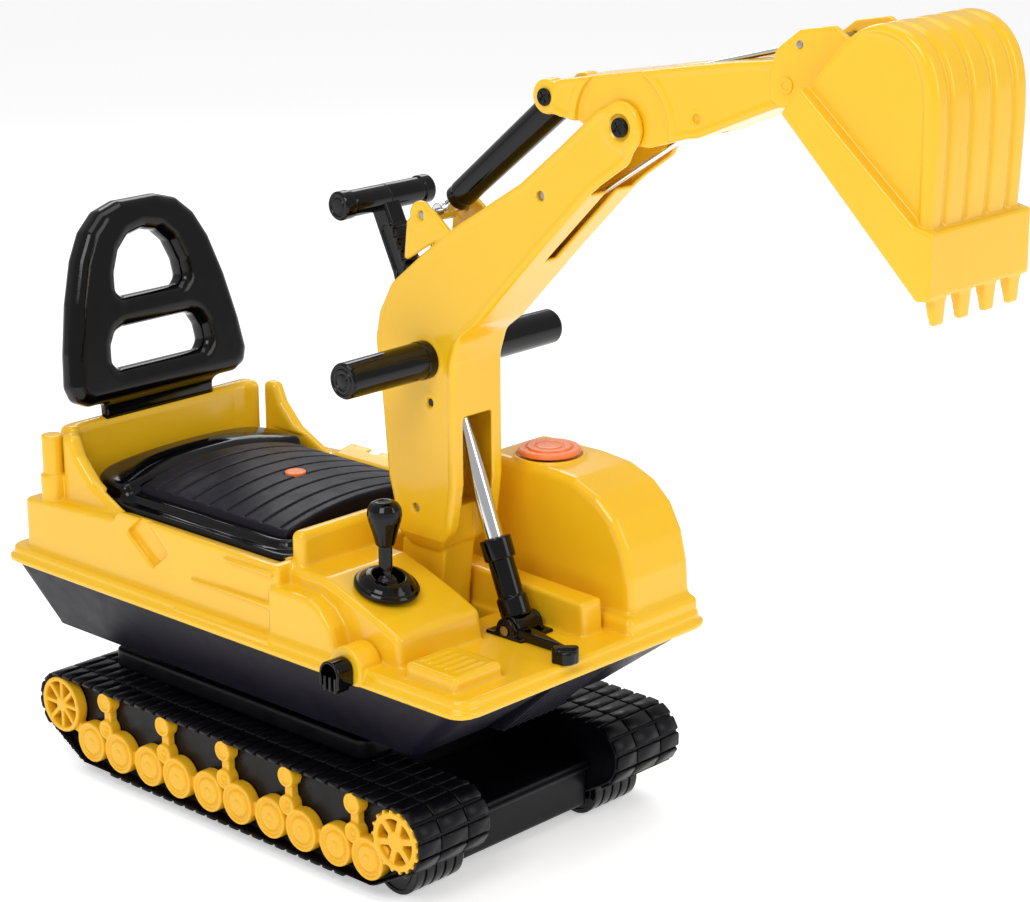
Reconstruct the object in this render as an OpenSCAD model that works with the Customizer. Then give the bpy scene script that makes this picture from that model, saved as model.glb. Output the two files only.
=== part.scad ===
/* [Undercarriage] */
// Overall width over the two tracks
track_span = 304; // [300:1:320]
// Width of one track
track_w = 77; // [74:1:80]
// Distance from the middle to each upper end circle of a track
track_reach = 206; // [200:1:212]
// Radius of the circles that shape a track's loop
loop_r = 28.5; // [28:0.5:30]
// Height of the track's lowest run above the floor
track_clear = 10; // [9.5:0.1:10.5]
// Distance between two pairs of road wheels
wheel_pitch = 76; // [75:0.5:77]
// Radius of a road wheel
road_wheel_r = 17.7; // [17:0.1:18]
// Radius of a floor roller
roller_r = 24; // [23.5:0.1:24]
// Width of a floor roller
roller_w = 52; // [48:1:52]

/* [House] */
// Length of the deck's lip
deck_l = 560; // [555:1:565]
// Width of the deck's lip
deck_w = 290; // [288:1:292]
// Height of the lip's lower edge
lip_z = 171; // [171:0.5:172]
// Height of the open deck floor
floor_z = 184; // [183.5:0.5:184.5]
// Height of the deck beside the seat
shelf_z = 244; // [243:0.5:245]
// Wall thickness of the moulded shells
wall = 3; // [2.5:0.1:3.5]
// Radius of the hood's round front
hood_r = 80; // [79:0.5:81]
// Radius of the horn button
button_r = 24; // [22:0.5:26]

/* [Seat] */
// Width of the seat's skirt
seat_w = 218; // [210:1:220]
// Width of the ribbed panel
panel_w = 176; // [170:1:180]
// Height of the panel's crown
seat_z = 262; // [260:0.5:263]
// Backward lean of the backrest in degrees
back_lean = 9; // [8:0.5:10]

/* [Boom] */
// Half width of the boom at its faces
boom_half = 28; // [28:0.1:28.5]
// Half width of the boom's narrow foot
foot_half = 17; // [16:0.5:17]
// Radius of the boom's pivot shaft
pivot_r = 5; // [4.5:0.1:5.5]
// Overall length of the two grips and the bar between them
grip_span = 234; // [230:1:240]
// Length of the control lever's handle
handle_l = 98; // [94:1:102]
// Wall thickness of the boom and the stick
arm_wall = 2.5; // [2.3:0.1:2.7]

/* [Stick and bucket] */
// Half width of the stick at its faces
stick_half = 27; // [26.5:0.1:27]
// Radius of the two chrome wires
wire_r = 2; // [1.8:0.1:2]
// Half width of the bucket
bucket_half = 57; // [56:0.5:58]
// Number of bucket teeth
teeth = 4; // [3:1:5]

/* [Fits] */
// Radial gap between a turning part and its pin
run_gap = 0.05; // [0.03:0.01:0.08]

/* [Hidden] */
$fn = 64;

// Pivots of the working arm, as [x, z] in the plane of symmetry
boom_p = [100, 190];
barrel_p = [195.5, 190];
lift_p = [126, 365];
bar_p = [122.3, 399.6];
lever_p = [140, 458];
handle_p = [49.6, 514];
elbow_p = [322, 605];
ear_p = [119, 513];
rear_p = [249.6, 619];
drive_p = [390.7, 619];
bucket_p = [474, 652];
rod_p = [484, 680];
rod_tail = [378, 652];

// Undercarriage
track_out = track_span / 2;
track_in = track_out - track_w;
upper_c = [track_reach, track_clear + loop_r + 19.5];
lower_c = [track_reach - 34, track_clear + loop_r];
recess_r = loop_r - 2.3;
recess_d = 11;
idler_r = 24.5;
sprocket_r = 25.8;
spoke_w = 3.6;
roller_x = 184;
roller_mid = track_in + 2.5 + roller_w / 2;
axle_r = 4;
pad_top = 104;
ring_top = 108;

// House
lip_back = -287;
lip_front = lip_back + deck_l;
half_w = deck_w / 2;
side_y = half_w - 9;
seat_bed = 226;
seat_front = 50;
ridge_x = [57, 72];
ridge_z = 266;
crown_r = 187;
console_y = [-120, -30];
hood_y = [60, 134];
hood_c = [181, 300 - hood_r];
button_x = 145;
button_y = 90;
hood_top = hood_c[1] + hood_r;
lever_c = [133, -85, 228];
lever_tilt = 15;
clip_c = [149, 183];
pocket_half = 21;
post_c = [-247, -122];
screw_at = [[-270, -110], [-270, 110], [244, -50], [244, 12]];
boom_screw_at = [[244, 545], [108, 275], [197, 475]];

grip_r = 15.5;
bar_r = 8;
lift_rod_r = 7.5;
barrel_bore = 8.9;
lift_dir = atan2(lift_p[0] - barrel_p[0], lift_p[1] - barrel_p[1]);
lift_len = norm(lift_p - barrel_p);
cyl_dir = atan2(rear_p[0] - ear_p[0], rear_p[1] - ear_p[1]);
cyl_len = norm(rear_p - ear_p);
recess_cheek = 44;
cheek_half = 22.5;

yellow = "#FFC72E";
black = "#17161C";
satin = "#2B2A33";
orange = "#F58A4B";
chrome = "#C9CDD2";

// ---- Helpers: profiles lie in the plane of symmetry, as [x, z] ----

// A prism of a profile, from y0 to y1
module prism(y0, y1) {
    translate([0, y1, 0]) rotate([90, 0, 0]) linear_extrude(y1 - y0) children();
}

// A round bar along Y through [x, z]
module ybar(c, r, y0, y1) {
    translate([c[0], y1, c[1]]) rotate([90, 0, 0]) cylinder(h = y1 - y0, r = r);
}

// A round bar from p, turned a degrees from upright, between two distances
module along(p, a, d0, d1, ra, rb) {
    translate([p[0], 0, p[1]]) rotate([0, a, 0]) translate([0, 0, d0])
        cylinder(h = d1 - d0, r1 = ra, r2 = rb);
}

// A flat bar with round ends between two points of a profile
module strip(a, b, w) {
    translate(a) rotate(atan2(b[1] - a[1], b[0] - a[0]))
        translate([0, -w / 2]) square([norm(b - a), w]);
    translate(a) circle(w / 2 + 0.3);
    translate(b) circle(w / 2 + 0.3);
}

// A box between two corners
module block(a, b) {
    translate(a) cube(b - a);
}

// Both sides of the plane of symmetry
module both() {
    children();
    mirror([0, 1, 0]) children();
}

// A flat rounded rectangle
module rounded(x0, x1, y0, y1, r) {
    translate([x0 + r, y0]) square([x1 - x0 - 2 * r, y1 - y0]);
    translate([x0, y0 + r]) square([x1 - x0, y1 - y0 - 2 * r]);
    for (x = [x0 + r, x1 - r], y = [y0 + r, y1 - r]) translate([x, y]) circle(r);
}

// ---- Undercarriage ----

// Points along an arc of a profile
function arc(c, r, a0, a1) = [for (i = [0:24]) let (a = a0 + (a1 - a0) * i / 24)
    c + r * [cos(a), sin(a)]];

// The track's loop round its four corner circles, grown or shrunk to the radius r
module loop(r) {
    nose = atan2(lower_c[0] - upper_c[0], upper_c[1] - lower_c[1]);
    polygon(concat(
        arc(upper_c, r, nose, 90),
        arc([-upper_c[0], upper_c[1]], r, 90, 180 - nose),
        arc([-lower_c[0], lower_c[1]], r, 180 - nose, 270),
        arc(lower_c, r, 270, 360 + nose)));
}

// One track: a hollow moulding with wells for its two rollers
module track_half() {
    well_y = [track_in + 2, track_in + 3 + roller_w];
    well_r = roller_r + 2.5;
    difference() {
        union() {
            difference() {
                prism(track_in, track_out) loop(loop_r);
                prism(track_in + wall, track_out - recess_d - wall) loop(loop_r - wall);
                prism(track_out - recess_d, track_out + 1) loop(recess_r);
            }
            for (x = [-roller_x, roller_x])
                intersection() {
                    union() {
                        ybar([x, roller_r], well_r + 2, track_in + 0.5, well_y[1] + 2);
                        block([x - well_r - 2, track_in + 0.5, 0],
                              [x + well_r + 2, well_y[1] + 2, roller_r]);
                    }
                    prism(track_in, track_out) loop(loop_r - 0.5);
                }
        }
        for (x = [-roller_x, roller_x]) {
            ybar([x, roller_r], well_r, well_y[0], well_y[1]);
            block([x - well_r, well_y[0], -1], [x + well_r, well_y[1], roller_r]);
            ybar([x, roller_r], axle_r, track_in - 1, well_y[1] + 3);
        }
    }
}
module track_left() { color(black) track_half(); }
module track_right() { color(black) mirror([0, 1, 0]) track_half(); }

// The closed frame between the tracks, with the pad that carries the house
module cross_frame() {
    color(black) difference() {
        union() {
            block([-200, -track_in, 13], [200, track_in, 50]);
            block([-204, -track_in, 50], [204, track_in, 54]);
            block([-150, -track_in + 2, 54], [112, track_in - 2, 88]);
            block([-187, -108, 87], [128, 108, pad_top]);
        }
        block([-197, -track_in + wall, 16], [197, track_in - wall, 51]);
        block([-147, -track_in + 5, 50], [109, track_in - 5, 88]);
        difference() {
            block([-184, -105, 90], [125, 105, pad_top - wall]);
            translate([0, 0, 80]) cylinder(h = 30, r = 18);
        }
        translate([0, 0, 80]) cylinder(h = 30, r = 6 + run_gap);
        difference() {
            block([-147, -track_in + 5, 80], [109, track_in - 5, 91]);
            translate([0, 0, 88]) cylinder(h = 30, r = 18);
        }
    }
}

// The five pairs of road wheels, their posts and links, and the two end wheels
module trim_half() {
    y0 = track_out - recess_d;
    y1 = track_out;
    z = track_clear + 24;
    first = -166.3;
    idler = [-track_reach, upper_c[1]];
    sprocket = [track_reach, upper_c[1]];
    prism(y0, y1) difference() {
        translate(idler) circle(idler_r);
        translate(idler) circle(idler_r - 3.5);
    }
    prism(y0, y1 - 1) for (a = [0:45:135]) translate(idler) rotate(a)
        square([2 * idler_r - 4, spoke_w], center = true);
    prism(y0, y1) translate(idler) circle(6);
    prism(y0, y1) difference() {
        translate(sprocket) circle(sprocket_r);
        translate(sprocket) circle(sprocket_r - 6);
    }
    prism(y0, y1 - 1) for (a = [0:60:120]) translate(sprocket) rotate(a)
        square([2 * sprocket_r - 6, 6], center = true);
    prism(y0, y1) translate(sprocket) circle(11);
    for (k = [0:4]) {
        a = [first + k * wheel_pitch, z];
        b = a + [36.7, 0];
        top = a + [20.7, 41.5];
        low = a + [20.7, 17];
        for (c = [a, b]) {
            prism(y0, y1 - 1.5) translate(c) circle(road_wheel_r);
            prism(y0, y1) translate(c) circle(12);
        }
        prism(y0, y1) translate(top) circle(8);
        prism(y0, y1) translate(low) circle(8);
        prism(y0, y1 - 2) strip(low, top, 8);
        prism(y0, y1 - 3) strip(a, b, 10);
        if (k < 4) prism(y0, y1 - 3) strip(b, a + [wheel_pitch, 0], 9);
    }
    prism(y0, y1 - 3) strip([first, z], idler, 9);
    prism(y0, y1 - 3) strip([first + 4 * wheel_pitch + 36.7, z], sprocket, 9);
}
module track_trim_left() { color(yellow) trim_half(); }
module track_trim_right() { color(yellow) mirror([0, 1, 0]) trim_half(); }

module roller_axles() {
    color(chrome) both() for (x = [-roller_x, roller_x])
        ybar([x, roller_r], axle_r, track_in, track_in + roller_w + 5);
}

// One ribbed floor roller
module roller(x, side) {
    y = side * roller_mid;
    color(black) difference() {
        union() {
            ybar([x, roller_r], roller_r - 1.5, y - roller_w / 2, y + roller_w / 2);
            for (k = [0:4])
                ybar([x, roller_r], roller_r, y - 26 + 11 * k, y - 18 + 11 * k);
        }
        ybar([x, roller_r], axle_r + run_gap, y - roller_w, y + roller_w);
    }
}
module roller_front_right() { roller(roller_x, -1); }
module roller_front_left() { roller(roller_x, 1); }
module roller_rear_right() { roller(-roller_x, -1); }
module roller_rear_left() { roller(-roller_x, 1); }

module turntable_ring() {
    color(satin) translate([0, 0, pad_top]) difference() {
        cylinder(h = ring_top - pad_top, r = 72);
        translate([0, 0, -1]) cylinder(h = 10, r = 40);
    }
}

module slew_bolt() {
    color(chrome) {
        translate([0, 0, 76]) cylinder(h = 39, r = 6);
        translate([0, 0, 115]) cylinder(h = 6, r = 12);
    }
}

module slew_nut() {
    color(chrome) translate([0, 0, 78]) difference() {
        cylinder(h = 9.6, r = 11, $fn = 6);
        translate([0, 0, -1]) cylinder(h = 12, r = 6);
    }
}

// ---- House ----

// The open tapered tub that hangs below the deck
module tub() {
    top_z = lip_z - 0.2;
    color(satin) difference() {
        union() {
            for (s = screw_at) translate([s[0] - 5, s[1] - 7, 165]) cube([10, 14, top_z - 165]);
            hull() {
                block([-254, -114, 111], [190, 114, 112]);
                block([-283, -141, top_z - 1], [268, 141, top_z]);
            }
            hull() {
                block([186, -32, 113], [206, 32, 114]);
                block([240, -34, top_z - 1], [268.5, 34, top_z]);
            }
            translate([0, 0, ring_top + 0.3]) cylinder(h = 4, r = 66);
        }
        hull() {
            block([-251, -111, 115], [187, 111, 116]);
            block([-280, -138, top_z], [265, 138, top_z + 1]);
        }
        translate([0, 0, 100]) cylinder(h = 20, r = 6);
        for (s = screw_at) translate([s[0], s[1], 150]) cylinder(h = 30, r = 2);
    }
}

// The side view of the seat bed and the shelves beside it
module shelf_profile(t) {
    polygon([[-268 + t, 168], [-268 + t, 230 - t], [-143, 236 - t], [-138, shelf_z - t],
             [60, shelf_z - t], [60, 168]]);
}

// The side view of the sloping console
module console_profile(t) {
    polygon([[50, 168], [50, 238 - t], [100 - t / 4, 236 - t], [166 - t / 3, 218 - t],
             [178 - t, 209 - t / 2], [180 - t, 168]]);
}

// The side view of the round-fronted hood
module hood_profile(t) {
    translate(hood_c) circle(hood_r - t);
    translate([95 + t, 168]) square([hood_c[0] - 95 - t, hood_top - t - 168]);
    translate([95 + t, 168]) square([hood_c[0] + hood_r - 95 - 2 * t, hood_c[1] - 168]);
}

// The outer faces of the deck's raised parts, sunk in by the thickness t
module deck_body(t) {
    prism(-side_y + t, side_y - t) shelf_profile(t);
    prism(console_y[0] + t, console_y[1] - t) console_profile(t);
    prism(-side_y + t, -100) intersection() {
        translate([56, 168]) square([80, 56 - t]);
        translate([66, 168]) circle(56 - t);
    }
    prism(30 + t, side_y - t) translate([50, 168]) square([50 - t, 70 - t]);
    prism(hood_y[0] + t, hood_y[1] - t) hood_profile(t);
    prism(24 + t, 46 - t) polygon([[80, 168], [80, 216 - t], [243 - t, 212 - t], [243 - t, 168]]);
    prism(52 + t, side_y - t) translate([80, 168]) square([187 - t, 28 - t]);
    prism(-130 + t, -78 - t) translate([198 + t, 168]) square([54 - 2 * t, 28 - t]);
}

// The one-piece yellow deck
module deck() {
    color(yellow) difference() {
        union() {
            difference() {
                union() {
                    translate([0, 0, lip_z]) linear_extrude(floor_z - lip_z)
                        rounded(lip_back, lip_front, -half_w, half_w, 22);
                    intersection() {
                        deck_body(0);
                        block([-300, -half_w, lip_z], [300, half_w, 310]);
                    }
                    block([-264, -106, 200], [-238, 118, 290]);
                    ybar(clip_c, 17.5, -half_w - 1, -half_w + 2.5);
                    ybar(clip_c, clip_c[1] - lip_z, -half_w, -115);
                }
                translate([0, 0, lip_z - 1]) linear_extrude(floor_z - lip_z + 1 - wall)
                    rounded(lip_back + wall, lip_front - wall, -half_w + wall, half_w - wall, 19);
                difference() {
                    intersection() {
                        deck_body(wall);
                        block([-300, -half_w, lip_z - 1], [300, half_w, 310]);
                    }
                    block([-226, -115, seat_bed - wall], [seat_front + 7, 115, 250]);
                }
                block([-222, -111, seat_bed], [seat_front + 3, 111, 250]);
                block([-261, -103, 190], [-241, 115, 287]);
            }
            // wings at both ends of the seat's back wall, and the ridge in front of the seat
            for (y = [-118, 112]) prism(y, y + 6) polygon([[-240, 226], [-240, 290], [-233, 286],
                [-214, 277], [-182, 253], [-161, 245], [-143, 240], [-143, 226]]);
            both() block([ridge_x[0], 31, 230], [ridge_x[1], 116, ridge_z]);
            for (k = [0:4]) block([203 + 9 * k, -122, 195], [208 + 9 * k, -86, 197.5]);
            for (z = [208, 222, 235]) block([-40, -side_y - 1.5, z], [44, -side_y + 1, z + 2.5]);
            // exhaust stack, horn cup and the walls that carry the boom's pivot
            translate([post_c[0], post_c[1], 200]) cylinder(h = 53, r = 11.5);
            translate([post_c[0], post_c[1], 250]) cylinder(h = 42, r = 9);
            translate([button_x, button_y, hood_top - 20]) cylinder(h = 18, r = 16);
            both() block([61, pocket_half, 166], [150, pocket_half + 3, 212]);
            both() ybar(boom_p, 10, foot_half + 0.4, pocket_half + 3);
            block([61, -24, 166], [64, 24, 238]);
            for (s = screw_at) translate([s[0], s[1], lip_z]) cylinder(h = 11, r = 5);
        }
        block([64, -pocket_half, 160], [150, pocket_half, 320]);
        block([62, -30, 214], [112, 30, 320]);
        both() block([ridge_x[0] + wall, 34, 229], [ridge_x[1] - wall, 113, ridge_z - wall]);
        ybar(boom_p, pivot_r, -30, 30);
        block([168, -19, 160], [222, 19, 200]);
        translate([lever_c[0], lever_c[1], 200]) cylinder(h = 60, r = 14);
        translate([button_x, button_y, hood_top - 18]) cylinder(h = 40, r = 14);
        translate([button_x, button_y, hood_top - 30]) cylinder(h = 40, r = 7 + run_gap);
        block([-247, -61, 262], [-240, 61, 300]);
        ybar(clip_c, 8, -half_w - 3, -100);
        for (s = screw_at) translate([s[0], s[1], 165]) cylinder(h = 14, r = 2);
    }
}

// Screws that draw the tub's rim up to the deck's four bosses
module deck_screws() {
    color(chrome) for (s = screw_at) translate([s[0], s[1], 162]) {
        cylinder(h = 16, r = 2);
        cylinder(h = 3, r = 4);
    }
}

// The seat's crown, a long arch whose thickness is taken off by t
module crown(x0, x1, t) {
    translate([x0, 0, seat_z - crown_r]) rotate([0, 90, 0])
        cylinder(h = x1 - x0, r = crown_r - t, $fn = 128);
}

// The hollow ribbed seat: a skirt, a crowned panel with grooves, and a raised rear lip
module seat() {
    edge = seat_w / 2;
    color(black) difference() {
        union() {
            translate([0, 0, seat_bed]) linear_extrude(14) rounded(-220, seat_front, -edge, edge, 22);
            intersection() {
                crown(-165, 21, 0);
                block([-165, -panel_w / 2, seat_bed + 2], [21, panel_w / 2, seat_z]);
            }
            translate([0, 0, seat_bed + 8]) linear_extrude(30) rounded(-218, -170, -88, 88, 18);
        }
        for (k = [0:7]) difference() {
            block([-145 + 22 * k, -84, seat_bed + 14.5], [-142.5 + 22 * k, 84, seat_z + 1]);
            crown(-150 + 22 * k, -138 + 22 * k, 1.8);
        }
        translate([-64, 0, seat_z - 4]) cylinder(h = 10, r = 9);
        translate([0, 0, seat_bed - 1]) linear_extrude(12)
            rounded(-217, seat_front - wall, -edge + wall, edge - wall, 19);
        intersection() {
            crown(-162, 18, 5);
            block([-162, 5 - panel_w / 2, seat_bed - 1], [18, panel_w / 2 - 5, seat_z]);
        }
        translate([0, 0, seat_bed]) linear_extrude(34) rounded(-215, -173, -85, 85, 15);
    }
}

module seat_cap() {
    color(orange) translate([-64, 0, seat_z - 4]) cylinder(h = 5.5, r = 9);
}

// The backrest's outline with its D-shaped hole over a slot
module backrest_profile() {
    difference() {
        polygon([[-84, 0], [84, 0], [95, 8], [98, 20], [94, 48], [84, 90], [72, 126],
                 [60, 148], [42, 163], [20, 170], [-20, 170], [-42, 163], [-60, 148],
                 [-72, 126], [-84, 90], [-94, 48], [-98, 20], [-95, 8]]);
        polygon([[-30, 88], [30, 88], [36, 94], [35, 108], [28, 126], [16, 138],
                 [0, 142], [-16, 138], [-28, 126], [-35, 108], [-36, 94]]);
        polygon([[-46, 28], [46, 28], [51, 34], [50, 48], [44, 58], [36, 61],
                 [-36, 61], [-44, 58], [-50, 48], [-51, 34]]);
    }
}

// A slab of the leaning backrest between two depths
module backrest_slab(x0, x1) {
    translate([-240, 0, 303]) rotate([0, -back_lean, 0]) translate([x1, 0, 0])
        rotate([90, 0, -90]) linear_extrude(x1 - x0) children();
}

// The hollow backrest and the tongue it plugs in with
module backrest() {
    color(black) {
        difference() {
            backrest_slab(-13, 13) backrest_profile();
            backrest_slab(-10, 10) offset(delta = -wall) backrest_profile();
        }
        block([-246.5, -60, 264], [-240.5, 60, 308]);
    }
}

module horn_button() {
    color(orange) translate([button_x, button_y, hood_top]) {
        translate([0, 0, 4]) cylinder(h = 2.5, r = button_r + 2);
        translate([0, 0, 6]) cylinder(h = 2.5, r = button_r - 6);
        translate([0, 0, -26]) cylinder(h = 31, r = 7);
    }
}

// A compression spring around the button's stem, swept ring by ring
module horn_spring() {
    turns = 5;
    steps = 18;
    sides = 6;
    spring_r = 10.5;
    wire = 0.9;
    last = turns * steps;
    rings = [for (i = [0:last], j = [0:sides - 1])
        let (r = spring_r + wire * cos(360 * j / sides), a = 360 * i / steps)
        [r * cos(a), r * sin(a), 18 * i / last + wire * sin(360 * j / sides)]];
    skin = [for (i = [0:last - 1], j = [0:sides - 1])
        let (a = i * sides + j, b = i * sides + (j + 1) % sides)
        [a, a + sides, b + sides, b]];
    ends = [[for (j = [0:sides - 1]) j], [for (j = [sides - 1:-1:0]) last * sides + j]];
    color(chrome) translate([button_x, button_y, hood_top - 16.5])
        polyhedron(rings, concat(skin, ends));
}

// The gear lever's domed base, tilted with the console
module gear_lever_base() {
    color(black) translate(lever_c) rotate([0, lever_tilt, 0]) difference() {
        union() {
            cylinder(h = 5, r = 26);
            translate([0, 0, 5]) cylinder(h = 7, r1 = 24, r2 = 17);
        }
        translate([0, 0, -1]) cylinder(h = 20, r = 13);
    }
}

module gear_lever_stem() {
    color(black) translate(lever_c) {
        sphere(9);
        cylinder(h = 50, r = 5.5);
    }
}

module gear_lever_knob() {
    color(black) translate(lever_c) difference() {
        union() {
            translate([0, 0, 36]) cylinder(h = 20, r1 = 8, r2 = 13.5);
            translate([0, 0, 56]) cylinder(h = 8, r = 13.5);
            translate([0, 0, 64]) cylinder(h = 8, r1 = 13.5, r2 = 8);
        }
        translate([0, 0, 30]) cylinder(h = 20, r = 5.5);
    }
}

// The arch-shaped clip on the side of the deck
module side_clip() {
    color(black) difference() {
        union() {
            ybar(clip_c, 10.5, -163, -half_w - 1);
            block([clip_c[0] - 10.5, -163, 172], [clip_c[0] + 10.5, -half_w - 1, clip_c[1]]);
            ybar(clip_c, 7.8, -half_w - 2, -118);
        }
        ybar(clip_c, 8.2, -164, -half_w - 4);
        block([clip_c[0] - 8.2, -164, 170], [clip_c[0] + 8.2, -half_w - 4, clip_c[1]]);
    }
}

// The black foot that carries the boom cylinder, with its forward stub
module cylinder_bracket() {
    color(black) difference() {
        union() {
            block([164, -22, floor_z], [226, 22, floor_z + 3]);
            both() prism(13.5, 17) {
                translate(barrel_p) circle(10);
                translate([barrel_p[0] - 10, 170]) square([20, barrel_p[1] - 170]);
            }
            translate([224, -16, floor_z]) rotate(-12) translate([0, -7, 0]) cube([40, 14, 9]);
            translate([264, -24, floor_z]) cylinder(h = 9, r = 8.5);
        }
        block([170, -13.4, 160], [221, 13.4, 220]);
        ybar(barrel_p, 4, -30, 30);
    }
}

module bracket_pin() { color(chrome) ybar(barrel_p, 4, -18, 18); }

module boom_pivot() { color(chrome) ybar(boom_p, pivot_r, -27, 27); }

// ---- Boom ----

boom_rear = [[88, 240], [84, 274], [78, 295], [72, 362], [66, 407], [71, 430], [85, 455]];
boom_top = [[118, 482], [153, 508], [224, 552], [262, 583], [308, 622]];
boom_low = [[336, 596], [329, 579], [303, 561], [293, 553], [238, 498], [177, 435], [159, 421],
            [152, 400], [152, 300], [146, 262], [128, 240]];

module boom_profile() {
    polygon(concat(boom_rear, boom_top, boom_low));
    translate(elbow_p) circle(19);
}

module foot_profile(t) {
    translate(boom_p) circle(24 - t);
    polygon([[76.5 + t, 188], [82 + t, 243 - t], [131 - t, 243 - t], [123.5 - t, 188]]);
}

// The left half shell of the boom
module boom_half_shell() {
    difference() {
        union() {
            difference() {
                prism(0, boom_half) boom_profile();
                difference() {
                    prism(-1, boom_half - arm_wall) offset(delta = -wall) boom_profile();
                    ybar(elbow_p, 20, boom_half - 5, boom_half);
                }
                ybar(elbow_p, 62, -1, boom_half - 5);
            }
            difference() {
                prism(0, foot_half) foot_profile(0);
                prism(-1, foot_half - wall) foot_profile(wall);
            }
            ybar(boom_p, 10, 0, foot_half);
            ybar(lift_p, 8, 9, boom_half - 1);
            ybar(bar_p, 13, 10, boom_half - 1);
            prism(boom_half - 5, boom_half) {
                translate(ear_p) circle(12);
                polygon([[107, 513], [104, 470], [150, 505], [128, 521]]);
            }
            for (s = boom_screw_at) ybar(s, 5, 0, boom_half - 1);
        }
        ybar(boom_p, pivot_r + run_gap, -1, 40);
        ybar(lift_p, 3, -1, 40);
        ybar(bar_p, bar_r, -1, 40);
        ybar(elbow_p, 4, -1, 40);
        ybar(ear_p, 3, -1, 40);
        for (s = boom_screw_at) ybar(s, 2, -1, 40);
        for (s = boom_screw_at) ybar(s, 4, boom_half - 3, 40);
        // slots for the chrome rod, the control lever and the drive rod
        block([140, -1, 262], [160, 16, 352]);
        prism(-1, 11) polygon([[55, 412], [82, 412], [104, 455], [104, 480], [60, 480]]);
        prism(-1, 5) polygon([[236, 486], [226, 498], [288, 566], [306, 566], [306, 545]]);
    }
}
module boom_shell_left() { color(yellow) boom_half_shell(); }
module boom_shell_right() { color(yellow) mirror([0, 1, 0]) boom_half_shell(); }

module boom_screws() {
    color(black) for (s = boom_screw_at) {
        ybar(s, 2, -boom_half + 3, boom_half - 10);
        ybar(s, 4, -boom_half + 0.5, -boom_half + 3);
    }
}

module cross_bar() {
    color(chrome) ybar(bar_p, bar_r, -grip_span / 2 + 6, grip_span / 2 - 6);
}

// One grip, pushed over the cross bar
module grip_half() {
    color(black) difference() {
        union() {
            translate([bar_p[0], boom_half, bar_p[1]]) rotate([-90, 0, 0])
                cylinder(h = grip_span / 2 - boom_half, r1 = grip_r - 0.7, r2 = grip_r - 1.5);
            ybar(bar_p, grip_r, boom_half, boom_half + 9);
        }
        ybar(bar_p, bar_r, boom_half - 1, grip_span / 2 - 6);
    }
}
module grip_left() { grip_half(); }
module grip_right() { mirror([0, 1, 0]) grip_half(); }

// A pin across the arm with a screw head on each end
module headed_pin(c, r, half, head) {
    color(black) {
        ybar(c, r, -half, half);
        both() ybar(c, head, half, half + 2.5);
    }
}
module elbow_pin() { headed_pin(elbow_p, 4, boom_half, 8); }
module ear_pin() { headed_pin(ear_p, 3, boom_half, 6); }
module lift_rod_pin() { color(black) ybar(lift_p, 3, -boom_half + 0.5, boom_half - 0.5); }

// The barrel of the boom cylinder, from its lower eye to its collar
module lift_barrel() {
    color(black) difference() {
        union() {
            along(barrel_p, lift_dir, 0, 64, 10.5, 10.5);
            along(barrel_p, lift_dir, 2, 36, 12.5, 12.5);
            ybar(barrel_p, 11, -13, 13);
        }
        along(barrel_p, lift_dir, 8, 70, barrel_bore, barrel_bore);
        ybar(barrel_p, 4 + run_gap, -20, 20);
    }
}

module lift_collar() {
    color(black) difference() {
        along(barrel_p, lift_dir, 54, 72, 12.9, 12.9);
        along(barrel_p, lift_dir, 50, 64, 10.5, 10.5);
        along(barrel_p, lift_dir, 50, 80, barrel_bore, barrel_bore);
    }
}

module lift_rod() {
    color(chrome) difference() {
        union() {
            along(barrel_p, lift_dir, 44, lift_len - 4, lift_rod_r, lift_rod_r);
            ybar(lift_p, 8.5, -8, 8);
        }
        ybar(lift_p, 3 + run_gap, -20, 20);
    }
}

// The control lever: a hub on the cross bar, a fork for the drive rod, and the handle
module control_lever() {
    bend = [80, 452];
    color(black) difference() {
        union() {
            prism(-9, 9) {
                translate(bar_p) circle(12.5);
                strip(bar_p, bend, 20);
                strip(bend, handle_p, 20);
                strip(bar_p, lever_p, 15);
            }
            ybar(handle_p, 10.5, -handle_l / 2, handle_l / 2);
            both() ybar(handle_p, 11.5, handle_l / 2 - 10, handle_l / 2);
        }
        ybar(bar_p, bar_r + run_gap, -20, 20);
        ybar(lever_p, 11, -3.6, 3.6);
        ybar(lever_p, 2, -20, 20);
    }
}

module control_lever_pin() { color(chrome) ybar(lever_p, 2, -9, 9); }

// ---- Stick ----

stick_top = [[257, 632], [340, 647], [384, 655], [419, 661], [455, 666], [468, 666]];
stick_low = [[478, 640], [455, 632], [391, 605], [383, 604], [344, 592], [300, 594],
             [279, 604], [251, 607]];

module stick_profile() {
    polygon(concat(stick_top, stick_low));
    translate(rear_p) circle(13);
    translate(bucket_p) circle(14);
    translate(elbow_p) circle(16);
}

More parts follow.
